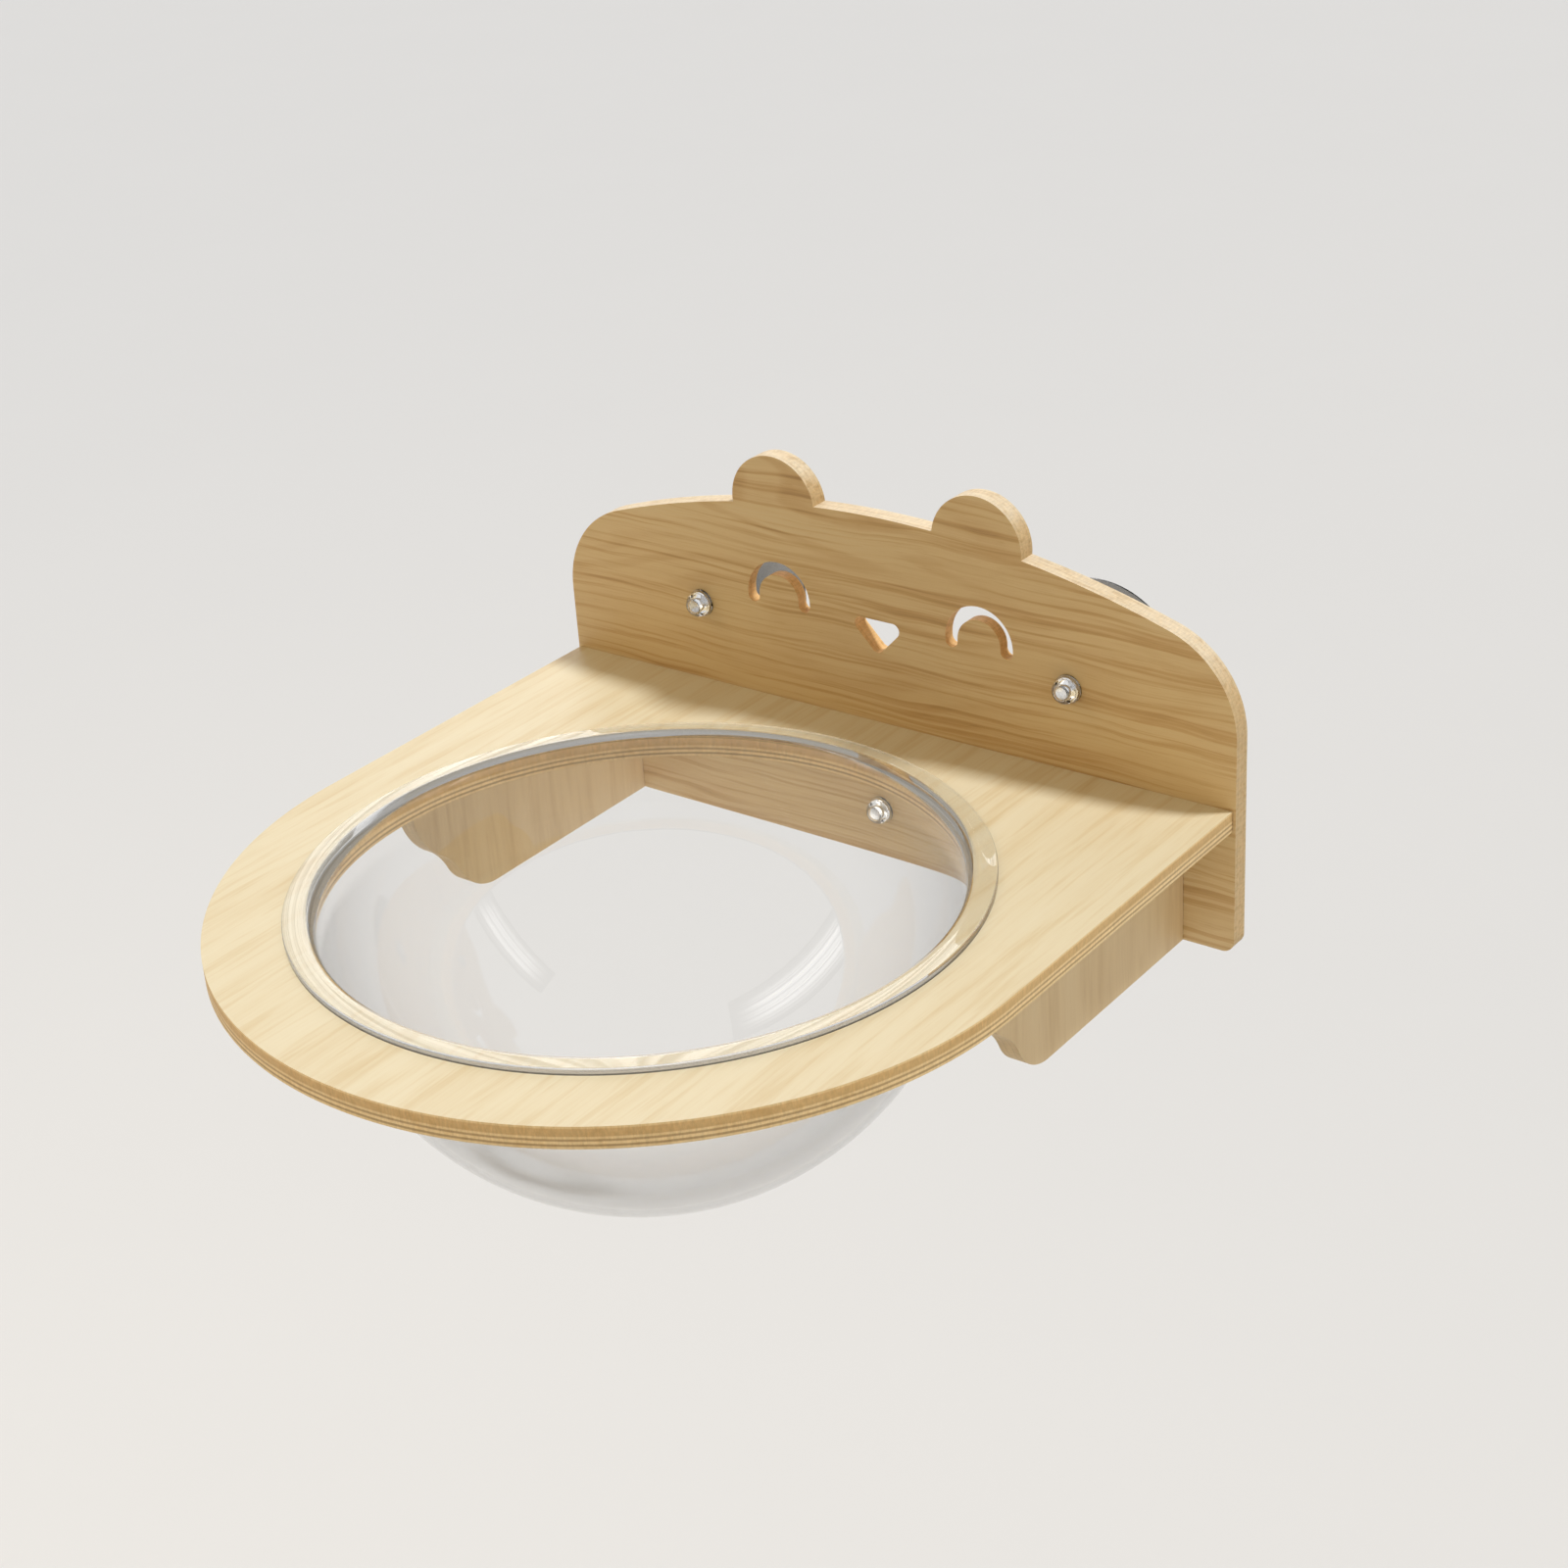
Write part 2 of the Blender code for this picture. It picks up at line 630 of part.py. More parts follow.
def make_dowel(name, x, setback, bracket, meshes):
    """A dowel that stands in a bracket's top edge and reaches into the board above it."""
    place = (x, PANEL_FRONT_Y - setback, -BOARD_THICKNESS - SEAT_GAP / 2)
    dowel = bpy.data.objects.new(name, meshes["dowel"])
    parts.objects.link(dowel)
    dowel.location = place
    cutter = add_cutter(name + "_hole", meshes["hole"], place)
    cut(bracket, cutter)
    cut(platform_board, cutter)


def make_dowels():
    down = DOWEL_IN_BRACKET + SEAT_GAP / 2
    up = DOWEL_IN_BOARD + SEAT_GAP / 2
    wide = dowel_profile(DOWEL_RADIUS + SCREW_CLEARANCE, down + SCREW_CLEARANCE, up + SCREW_CLEARANCE)
    meshes = {
        "dowel": turned_mesh("dowel", dowel_profile(DOWEL_RADIUS, down, up), SCREW_STEPS),
        "hole": turned_mesh("dowel_hole", wide, SCREW_STEPS),
    }
    meshes["dowel"].materials.append(dowel_wood)
    for number, setback in enumerate(DOWEL_SETBACKS, 1):
        make_dowel("left_bracket_dowel_" + str(number), -BRACKET_MIDDLE_X, setback, left_bracket, meshes)
        make_dowel("right_bracket_dowel_" + str(number), BRACKET_MIDDLE_X, setback, right_bracket, meshes)


clear_scene()
parts = new_collection("window_cat_hammock")
cutters = new_collection("cutters")

board_wood = make_material("board_wood", (0.80, 0.62, 0.33), 0.45)
panel_wood = make_material("panel_wood", (0.72, 0.52, 0.26), 0.50)
bracket_wood = make_material("bracket_wood", (0.74, 0.55, 0.30), 0.50)
dowel_wood = make_material("dowel_wood", (0.66, 0.46, 0.24), 0.60)
acrylic = make_material("acrylic", (0.95, 0.96, 0.97), 0.03, transmission=1.0)
clear_plastic = make_material("clear_plastic", (0.92, 0.93, 0.94), 0.08, transmission=1.0)
cup_vinyl = make_material("cup_vinyl", (0.70, 0.74, 0.78), 0.15, transmission=0.8)
steel = make_material("steel", (0.62, 0.62, 0.64), 0.30, metallic=1.0)

make_bowl()
platform_board = make_board()
back_panel = make_panel()
left_bracket = make_bracket("left_bracket", -BRACKET_MIDDLE_X)
right_bracket = make_bracket("right_bracket", BRACKET_MIDDLE_X)
make_cup_sets()
make_screws()
make_dowels()

print("bowl axis at y =", round(BOWL_Y, 4), "and panel front at y =", round(PANEL_FRONT_Y, 4))
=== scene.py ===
# Window cat hammock: a clear bowl hangs in the round hole of a plywood board, and a back panel
# with two round ears, two smiling eyes and a nose carries the board on three suction cups.
# Metres. The window's glass is the plane y = 0, the board's top is z = 0, the room is towards -Y.

import math

import bmesh
import bpy
from mathutils import Matrix, Vector


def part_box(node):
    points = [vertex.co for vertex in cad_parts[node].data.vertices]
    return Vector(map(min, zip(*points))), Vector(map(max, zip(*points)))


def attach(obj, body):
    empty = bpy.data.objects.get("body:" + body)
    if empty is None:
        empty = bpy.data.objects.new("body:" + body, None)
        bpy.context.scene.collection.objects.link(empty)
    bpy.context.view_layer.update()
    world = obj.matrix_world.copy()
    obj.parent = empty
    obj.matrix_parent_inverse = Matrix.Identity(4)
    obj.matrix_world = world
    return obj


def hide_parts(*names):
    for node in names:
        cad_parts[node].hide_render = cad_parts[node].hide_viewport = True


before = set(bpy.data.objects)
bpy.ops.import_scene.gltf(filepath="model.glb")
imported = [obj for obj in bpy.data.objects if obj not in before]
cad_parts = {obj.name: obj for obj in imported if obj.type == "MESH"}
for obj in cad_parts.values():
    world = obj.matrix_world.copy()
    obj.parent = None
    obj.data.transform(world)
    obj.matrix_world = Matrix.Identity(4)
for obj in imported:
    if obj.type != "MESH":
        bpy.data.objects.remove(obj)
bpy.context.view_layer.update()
print("frame loaded,", len(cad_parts), "CAD nodes")

quarter = math.pi / 2
fullTurn = 2 * math.pi
facingRoom = Matrix.Rotation(quarter, 4, "X")        # local Z points to -Y
facingWindow = Matrix.Rotation(-quarter, 4, "X")     # local Z points to +Y
alongBracket = Matrix.Rotation(quarter, 4, "Z") @ Matrix.Rotation(quarter, 4, "X")

panelLow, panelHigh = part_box("back_panel")
boardLow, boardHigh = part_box("platform_board")
bowlLow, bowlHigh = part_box("acrylic_bowl")
bracketLow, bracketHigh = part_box("right_bracket")
seatGap = 0.0003                                     # between pieces that touch
weldDistance = 0.00001
bowlY = (bowlLow.y + bowlHigh.y) / 2
bowlRadius = 0.149
holeRadius = 0.150


# mesh making


def arcPoints(centre, radius, start, end, steps):
    points = []
    for i in range(steps + 1):
        angle = start + (end - start) * i / steps
        points.append(Vector((centre[0] + radius * math.cos(angle), centre[1] + radius * math.sin(angle))))
    return points


def angleFrom(centre, point):
    return math.atan2(point[1] - centre[1], point[0] - centre[0])


def circlesCross(centreA, radiusA, centreB, radiusB, side):
    line = centreB - centreA
    along = (radiusA ** 2 - radiusB ** 2 + line.length_squared) / (2 * line.length)
    ahead = line.normalized()
    left = Vector((-ahead.y, ahead.x))
    return centreA + ahead * along + left * math.sqrt(radiusA ** 2 - along ** 2) * side


def mirrored(half):
    # closes a half outline with its mirror image
    return half + [Vector((-p.x, p.y)) for p in reversed(half) if abs(p.x) > weldDistance]


def shapedMesh(guide):
    # the mesh that an object's modifiers give; the object goes
    bpy.context.view_layer.update()
    shaped = guide.evaluated_get(bpy.context.evaluated_depsgraph_get())
    mesh = bpy.data.meshes.new_from_object(shaped)
    bpy.data.objects.remove(guide, do_unlink=True)
    return mesh


def looseObject(name, data):
    thing = bpy.data.objects.new(name, data)
    bpy.context.scene.collection.objects.link(thing)
    return thing


def plateMesh(name, outlines, thickness, easing, cutters=()):
    # a plate cut to the first outline, with the others as holes, its edges eased, then the cutters taken out
    curve = bpy.data.curves.new(name, "CURVE")
    curve.dimensions = "2D"
    curve.fill_mode = "BOTH"
    curve.extrude = thickness / 2
    for outline in outlines:
        spline = curve.splines.new("POLY")
        spline.points.add(len(outline) - 1)
        for point, place in zip(spline.points, outline):
            point.co = (place.x, place.y, 0, 1)
        spline.use_cyclic_u = True
    mesh = shapedMesh(looseObject(name, curve))
    bpy.data.curves.remove(curve)
    shape = bmesh.new()
    shape.from_mesh(mesh)
    bmesh.ops.remove_doubles(shape, verts=shape.verts, dist=weldDistance)
    bmesh.ops.recalc_face_normals(shape, faces=shape.faces)
    shape.to_mesh(mesh)
    shape.free()
    mesh.materials.clear()
    plate = looseObject(name, mesh)
    eased = plate.modifiers.new("easedEdges", "BEVEL")
    eased.width = easing
    eased.segments = 3
    eased.limit_method = "ANGLE"
    eased.angle_limit = math.radians(40)
    eased.loop_slide = False
    for cutter in cutters:
        opening = plate.modifiers.new(cutter.name, "BOOLEAN")
        opening.operation = "DIFFERENCE"
        opening.solver = "EXACT"
        opening.object = cutter
    mesh = shapedMesh(plate)
    for cutter in cutters:
        bpy.data.objects.remove(cutter, do_unlink=True)
    return mesh


def loftedCutter(name, sections, place):
    # a closed shape through outlines of equal length, each at its own height
    shape = bmesh.new()
    rings = []
    for outline, height in sections:
        rings.append([shape.verts.new((p.x, p.y, height)) for p in outline])
    count = len(rings[0])
    for lower, upper in zip(rings, rings[1:]):
        for i in range(count):
            j = (i + 1) % count
            shape.faces.new((lower[i], lower[j], upper[j], upper[i]))
    shape.faces.new(list(reversed(rings[0])))
    shape.faces.new(rings[-1])
    bmesh.ops.recalc_face_normals(shape, faces=shape.faces)
    mesh = bpy.data.meshes.new(name)
    shape.to_mesh(mesh)
    shape.free()
    mesh.transform(place)
    return looseObject(name, mesh)


def turnedMesh(name, profile, steps, pitch=1.0):
    # turns (radius, height) points about local Z; a third number cuts a thread that deep
    onAxis = 0.0000001
    shape = bmesh.new()
    rings = []
    for radius, height, *cut in profile:
        if radius < onAxis:
            rings.append([shape.verts.new((0, 0, height))])
            continue
        ring = []
        for i in range(steps):
            angle = fullTurn * i / steps
            reach = radius
            if cut:
                along = (height / pitch - i / steps) % 1
                reach -= cut[0] * abs(2 * along - 1)
            ring.append(shape.verts.new((reach * math.cos(angle), reach * math.sin(angle), height)))
        rings.append(ring)
    pairs = list(zip(rings, rings[1:]))
    if len(rings[0]) > 1 and len(rings[-1]) > 1:
        pairs.append((rings[-1], rings[0]))
    for first, second in pairs:
        for i in range(steps):
            j = (i + 1) % steps
            corners = [first[i % len(first)], first[j % len(first)]]
            corners += [second[j % len(second)], second[i % len(second)]]
            corners = list(dict.fromkeys(corners))
            if len(corners) > 2:
                shape.faces.new(corners)
    bmesh.ops.recalc_face_normals(shape, faces=shape.faces)
    mesh = bpy.data.meshes.new(name)
    shape.to_mesh(mesh)
    shape.free()
    return mesh


def addPiece(name, mesh, place, finish, body, slotName, *nodes, sharpAngle=35):
    # a finished piece: set in place, smoothed, given its finish and its body; the CAD nodes it stands for are
    # hidden
    mesh.transform(place)
    mesh.name = name
    mesh.materials.clear()
    mesh.materials.append(finish)
    mesh.shade_smooth()
    mesh.set_sharp_from_angle(angle=math.radians(sharpAngle))
    piece = looseObject(name, mesh)
    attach(piece, body)
    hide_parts(*nodes)
    return piece


def evenShading(piece):
    weighted = piece.modifiers.new("evenShading", "WEIGHTED_NORMAL")
    weighted.keep_sharp = True
    weighted.weight = 100


# finish making


def newFinish(name):
    material = bpy.data.materials.new(name)
    material.use_nodes = True
    tree = material.node_tree
    return material, tree, tree.nodes["Principled BSDF"]


def addNode(tree, kind, inputs=(), **settings):
    # inputs are (socket, value or socket to link) pairs
    node = tree.nodes.new(kind)
    for setting, value in settings.items():
        setattr(node, setting, value)
    for socket, value in inputs:
        if isinstance(value, bpy.types.NodeSocket):
            tree.links.new(value, node.inputs[socket])
        else:
            node.inputs[socket].default_value = value
    return node


def sums(tree, operation, a, b=0.0, c=0.0):
    return addNode(tree, "ShaderNodeMath", [(0, a), (1, b), (2, c)], operation=operation).outputs[0]


def ranged(tree, value, low, high, newLow=0.0, newHigh=1.0, smooth=True):
    inputs = [("Value", value), ("From Min", low), ("From Max", high)]
    inputs += [("To Min", newLow), ("To Max", newHigh)]
    shape = "SMOOTHSTEP" if smooth else "LINEAR"
    return addNode(tree, "ShaderNodeMapRange", inputs, interpolation_type=shape).outputs["Result"]


def colourMix(tree, amount, first, second, blend="MIX"):
    node = tree.nodes.new("ShaderNodeMix")
    node.data_type = "RGBA"
    node.blend_type = blend
    for socket, value in ((0, amount), (6, first), (7, second)):
        if isinstance(value, bpy.types.NodeSocket):
            tree.links.new(value, node.inputs[socket])
        elif socket == 0:
            node.inputs[0].default_value = value
        else:
            node.inputs[socket].default_value = (*value, 1.0)
    return node.outputs[2]


def colourRamp(tree, value, stops):
    node = addNode(tree, "ShaderNodeValToRGB", [("Fac", value)])
    ramp = node.color_ramp
    ramp.interpolation = "LINEAR"
    while len(ramp.elements) < len(stops):
        ramp.elements.new(0.5)
    for element, (place, colour) in zip(ramp.elements, stops):
        element.position = place
        element.color = (*colour, 1.0)
    return node.outputs["Color"]


def noise(tree, vector, detail=3.0, roughness=0.5, distortion=0.0, scale=1.0):
    inputs = [("Vector", vector), ("Scale", scale), ("Detail", detail), ("Roughness", roughness)]
    inputs.append(("Distortion", distortion))
    return addNode(tree, "ShaderNodeTexNoise", inputs).outputs["Fac"]


fibreScale = (16, 620, 620)
poreScale = (75, 2100, 2100)
raggedScale = (90, 90, 90)
speckleScale = (900, 900, 260)


def woodFinish(name, facts):
    # solid timber: the grain runs along one axis, and plies lie one over another along another
    material, tree, shader = newFinish(name)
    place = addNode(tree, "ShaderNodeTexCoord")
    split = addNode(tree, "ShaderNodeSeparateXYZ", [(0, place.outputs["Object"])])
    turned = addNode(tree, "ShaderNodeSeparateXYZ", [(0, place.outputs["Normal"])])
    along = split.outputs[facts["along"]]
    across = split.outputs[facts["across"]]
    through = split.outputs[facts["through"]]
    if facts.get("mirrored"):
        through = sums(tree, "ABSOLUTE", through)
    straight = addNode(tree, "ShaderNodeCombineXYZ", [(0, along), (1, across), (2, through)]).outputs[0]

    def stretched(source, scales, shift=0.0):
        node = addNode(tree, "ShaderNodeVectorMath", [(0, source), (1, scales)], operation="MULTIPLY")
        if not shift:
            return node.outputs[0]
        moved = addNode(tree, "ShaderNodeVectorMath", [(0, node.outputs[0]), (1, (shift, shift, shift))])
        return moved.outputs[0]

    # the grain wavers sideways as it runs
    waver = sums(tree, "SUBTRACT", noise(tree, stretched(straight, facts["waverScale"], 4.4), 2.0, 0.5), 0.5)
    across = sums(tree, "MULTIPLY_ADD", waver, facts["waver"], across)
    lined = addNode(tree, "ShaderNodeCombineXYZ", [(0, along), (1, across), (2, through)]).outputs[0]

    # growth rings: the contour lines of a slow field, drawn out along the grain
    field = stretched(lined, facts["ringScale"], facts["ringShift"])
    field = noise(tree, field, 2.0, 0.45, facts["ringWarp"])
    wave = sums(tree, "SINE", sums(tree, "MULTIPLY", field, facts["ringCount"] * fullTurn))
    rings = ranged(tree, wave, -0.2, 1.0)
    patch = ranged(tree, noise(tree, stretched(lined, facts["patchScale"], 3.7), 2.0, 0.5), 0.38, 0.68)
    ringed = sums(tree, "MULTIPLY", rings, sums(tree, "MULTIPLY_ADD", patch, 0.85, 0.15))
    streaks = ranged(tree, noise(tree, stretched(lined, facts["streakScale"], 7.3), 2.0, 0.5), 0.46, 0.70)
    drift = noise(tree, stretched(lined, facts["driftScale"], 9.1), 3.0, 0.55)
    fibres = noise(tree, stretched(lined, fibreScale), 4.0, 0.7)
    pores = noise(tree, stretched(lined, poreScale, 5.3), 1.0, 0.5)
    pores = ranged(tree, pores, 0.30, 0.36, 1.0, 0.0)

    tone = sums(tree, "MULTIPLY_ADD", sums(tree, "SUBTRACT", drift, 0.5), facts["driftDepth"], 0.5)
    tone = sums(tree, "MULTIPLY_ADD", sums(tree, "SUBTRACT", fibres, 0.5), facts["fibreDepth"], tone)
    tone = sums(tree, "MULTIPLY_ADD", ringed, -facts["ringDepth"], tone)
    tone = sums(tree, "MULTIPLY_ADD", streaks, -facts["streakDepth"], tone)
    tone = sums(tree, "MULTIPLY_ADD", pores, -facts["poreDepth"], tone)
    colour = colourRamp(tree, tone, facts["tones"])

    # plies, seen on the edges: depth runs from one face of the plate to the other
    ragged = noise(tree, stretched(straight, raggedScale, 1.9), 3.0, 0.6)
    depth = ranged(tree, through, facts["low"], facts["high"], smooth=False)
    depth = sums(tree, "MULTIPLY_ADD", sums(tree, "SUBTRACT", ragged, 0.5), 0.035, depth)
    plies = colourRamp(tree, depth, facts["plies"])
    speckle = noise(tree, stretched(straight, speckleScale, 2.2), 3.0, 0.7)
    grey = ranged(tree, speckle, 0.32, 0.7, 0.84, 1.06, smooth=False)
    endGrain = addNode(tree, "ShaderNodeCombineColor", [(0, grey), (1, grey), (2, grey)]).outputs[0]
    square = sums(tree, "ABSOLUTE", turned.outputs[facts["through"]])
    onEdge = ranged(tree, square, 0.55, 0.95, 1.0, 0.0)
    plied = colourMix(tree, 1.0, colourRamp(tree, tone, facts["edgeTones"]), plies, "MULTIPLY")
    plied = colourMix(tree, 1.0, plied, endGrain, "MULTIPLY")
    if "endTint" in facts:
        # the grain's ends are darker, and the walls of the cut-outs, within their bounds, get painted warm
        # light, as if lit through the slots
        ends = ranged(tree, sums(tree, "ABSOLUTE", turned.outputs[facts["along"]]), 0.6, 0.98)
        side, low, high = facts["cutBounds"]
        fade = 0.005
        inside = ranged(tree, sums(tree, "ABSOLUTE", split.outputs["X"]), side, side + fade, 1.0, 0.0)
        inside = sums(tree, "MULTIPLY", inside, ranged(tree, split.outputs["Z"], low, low + fade))
        inside = sums(tree, "MULTIPLY", inside, ranged(tree, split.outputs["Z"], high, high + fade, 1.0, 0.0))
        ends = sums(tree, "MULTIPLY", ends, sums(tree, "SUBTRACT", 1.0, inside))
        plied = colourMix(tree, ends, plied, colourMix(tree, 1.0, plied, facts["endTint"], "MULTIPLY"))
        # painted light: the walls of the eyes and the nose are warmed and brightened
        plied = colourMix(tree, inside, plied, colourMix(tree, 1.0, plied, facts["cutWallLight"], "MULTIPLY"))
    colour = colourMix(tree, onEdge, colour, plied)

    # painted highlight: the rounded arris is painted a little paler
    arris = sums(tree, "MULTIPLY", ranged(tree, square, 0.2, 0.5), ranged(tree, square, 0.86, 0.98, 1.0, 0.0))
    colour = colourMix(tree, sums(tree, "MULTIPLY", arris, facts["arrisHighlight"]), colour, facts["arrisHighlightColour"])
    tree.links.new(colour, shader.inputs["Base Color"])

    sheen = sums(tree, "MULTIPLY_ADD", fibres, 0.22, facts["roughness"] - 0.11)
    sheen = sums(tree, "MULTIPLY_ADD", onEdge, 0.12, sheen)
    tree.links.new(sheen, shader.inputs["Roughness"])
    height = sums(tree, "MULTIPLY_ADD", pores, -0.8, sums(tree, "MULTIPLY", fibres, 0.7))
    height = sums(tree, "MULTIPLY_ADD", speckle, sums(tree, "MULTIPLY", onEdge, 0.8), height)
    bump = addNode(tree, "ShaderNodeBump", [("Strength", 0.22), ("Distance", 0.0003), ("Height", height)])
    tree.links.new(bump.outputs["Normal"], shader.inputs["Normal"])
    shader.inputs["Specular IOR Level"].default_value = 0.35
    return material


def clearFinish(name, facts):
    # clear plastic with faint smears and moulding waves; rays from lamps pass straight through
    material, tree, shader = newFinish(name)
    source = addNode(tree, "ShaderNodeTexCoord")
    place = source.outputs["Object"]
    smear = noise(tree, place, 4.0, 0.6, 0.4, facts["smearScale"])
    rough = ranged(tree, smear, 0.45, 0.75, facts["roughness"], facts["roughness"] + facts["smear"])
    tree.links.new(rough, shader.inputs["Roughness"])
    waves = noise(tree, place, 1.0, 0.4, 0.0, facts["waveScale"])
    settings = [("Strength", facts["wave"]), ("Distance", 0.0004), ("Height", waves)]
    bump = addNode(tree, "ShaderNodeBump", settings)
    tree.links.new(bump.outputs["Normal"], shader.inputs["Normal"])
    # painted shade: greyer where the surface turns away, but clear in the flange and at the very outline
    turned = addNode(tree, "ShaderNodeLayerWeight", [("Blend", 0.5)]).outputs["Facing"]
    height = addNode(tree, "ShaderNodeSeparateXYZ", [(0, place)]).outputs["Z"]
    fade = 0.008
    walled = ranged(tree, height, facts["clearAbove"] - fade, facts["clearAbove"], 1.0, 0.0)
    paintedShade = sums(tree, "MULTIPLY", ranged(tree, turned, 0.16, 0.86), walled)
    paintedShade = sums(tree, "MULTIPLY", paintedShade, ranged(tree, turned, 0.90, 0.97, 1.0, facts["outline"]))
    colour = colourMix(tree, paintedShade, facts["colour"], facts["turnedShadeColour"])
    if "edgeShadeColour" in facts:
        # painted shade: the flange's cut edge is darkened to a dark line
        level = addNode(tree, "ShaderNodeSeparateXYZ", [(0, source.outputs["Normal"])]).outputs["Z"]
        upright = ranged(tree, sums(tree, "ABSOLUTE", level), 0.5, 0.8, 1.0, 0.0)
        edge = sums(tree, "MULTIPLY", upright, ranged(tree, height, 0.0002, 0.0006))
        colour = colourMix(tree, edge, colour, facts["edgeShadeColour"])
    tree.links.new(colour, shader.inputs["Base Color"])
    shader.inputs["Transmission Weight"].default_value = 1.0
    shader.inputs["IOR"].default_value = facts["ior"]
    path = addNode(tree, "ShaderNodeLightPath").outputs
    if "trapped" in facts:
        # light caught inside the rim glows a little instead of going black
        manyBounces = 5.5
        deep = sums(tree, "GREATER_THAN", path["Ray Depth"], manyBounces)
        tree.links.new(sums(tree, "MULTIPLY", deep, facts["trapped"]), shader.inputs["Emission Strength"])
        shader.inputs["Emission Color"].default_value = (*facts["trappedColour"], 1.0)
    passing = addNode(tree, "ShaderNodeBsdfTransparent", [("Color", (*facts["shadow"], 1.0))])
    shaders = [(0, path["Is Shadow Ray"]), (1, shader.outputs[0]), (2, passing.outputs[0])]
    mixed = addNode(tree, "ShaderNodeMixShader", shaders)
    output = tree.nodes["Material Output"]
    tree.links.new(mixed.outputs[0], output.inputs["Surface"])
    dimming = addNode(tree, "ShaderNodeVolumeAbsorption", [("Color", (*facts["depthColour"], 1.0))])
    dimming.inputs["Density"].default_value = facts["density"]
    tree.links.new(dimming.outputs[0], output.inputs["Volume"])
    return material


def steelFinish(name, facts):
    # plated steel: a fine grain and a few dull spots
    material, tree, shader = newFinish(name)
    place = addNode(tree, "ShaderNodeTexCoord").outputs["Object"]
    grain = noise(tree, place, 5.0, 0.7, 0.0, 900.0)
    dull = ranged(tree, noise(tree, place, 3.0, 0.6, 0.0, 160.0), 0.5, 0.72)
    colour = colourMix(tree, dull, facts["bright"], facts["dull"])
    tree.links.new(colour, shader.inputs["Base Color"])
    rough = sums(tree, "MULTIPLY_ADD", dull, 0.2, sums(tree, "MULTIPLY_ADD", grain, 0.12, 0.2))
    tree.links.new(rough, shader.inputs["Roughness"])
    bump = addNode(tree, "ShaderNodeBump", [("Strength", 0.1), ("Distance", 0.0001), ("Height", grain)])
    tree.links.new(bump.outputs["Normal"], shader.inputs["Normal"])
    shader.inputs["Metallic"].default_value = 1.0
    return material


paleTones = [
    (0.10, (0.490, 0.360, 0.185)),
    (0.32, (0.660, 0.545, 0.335)),
    (0.50, (0.740, 0.670, 0.485)),
    (0.72, (0.790, 0.755, 0.600)),
]
# painted shade: the panel's face is darker and warmer than the board's wood, as its front faces away from the
# key light; its cream edges stay pale
shadedFaceTones = [
    (0.06, (0.400, 0.236, 0.094)),
    (0.28, (0.610, 0.404, 0.180)),
    (0.50, (0.745, 0.565, 0.300)),
    (0.76, (0.790, 0.660, 0.410)),
]
bracketTones = [
    (0.08, (0.520, 0.345, 0.165)),
    (0.32, (0.750, 0.550, 0.295)),
    (0.52, (0.880, 0.690, 0.410)),
    (0.76, (0.910, 0.770, 0.520)),
]
creamTones = [
    (0.10, (0.660, 0.512, 0.320)),
    (0.36, (0.824, 0.704, 0.508)),
    (0.60, (0.895, 0.808, 0.640)),
    (0.80, (0.912, 0.848, 0.704)),
]
edgeTones = [
    (0.10, (0.650, 0.430, 0.186)),
    (0.32, (0.828, 0.614, 0.306)),
    (0.50, (0.920, 0.728, 0.410)),
    (0.72, (0.950, 0.806, 0.500)),
]
boardPlies = [
    (0.00, (1.00, 0.97, 0.93)),
    (0.09, (1.00, 0.97, 0.93)),
    (0.13, (0.56, 0.49, 0.43)),
    (0.19, (0.60, 0.52, 0.45)),
    (0.23, (1.06, 1.03, 0.99)),
    (0.32, (1.04, 1.00, 0.96)),
    (0.36, (0.60, 0.52, 0.45)),
    (0.42, (0.64, 0.55, 0.47)),
    (0.46, (1.00, 0.96, 0.90)),
    (0.53, (0.98, 0.93, 0.86)),
    (0.57, (0.76, 0.65, 0.51)),
    (0.88, (0.84, 0.72, 0.56)),
    (0.92, (1.00, 0.95, 0.88)),
    (1.00, (1.04, 1.00, 0.94)),
]
duskyPlies = [
    (0.00, (0.70, 0.66, 0.62)),
    (0.30, (0.78, 0.74, 0.69)),
    (0.34, (0.62, 0.58, 0.54)),
    (0.38, (0.76, 0.72, 0.67)),
    (0.66, (0.78, 0.74, 0.69)),
    (0.70, (0.62, 0.58, 0.54)),
    (0.74, (0.76, 0.72, 0.67)),
    (1.00, (0.70, 0.66, 0.62)),
]
faintPlies = [
    (0.00, (0.98, 0.97, 0.96)),
    (0.17, (0.97, 0.95, 0.93)),
    (0.21, (0.86, 0.82, 0.77)),
    (0.25, (1.00, 0.99, 0.97)),
    (0.47, (0.98, 0.96, 0.94)),
    (0.50, (0.90, 0.86, 0.82)),
    (0.54, (1.00, 0.98, 0.96)),
    (0.76, (0.97, 0.94, 0.90)),
    (0.80, (0.86, 0.82, 0.77)),
    (0.85, (1.00, 0.99, 0.97)),
    (1.00, (0.98, 0.97, 0.96)),
]

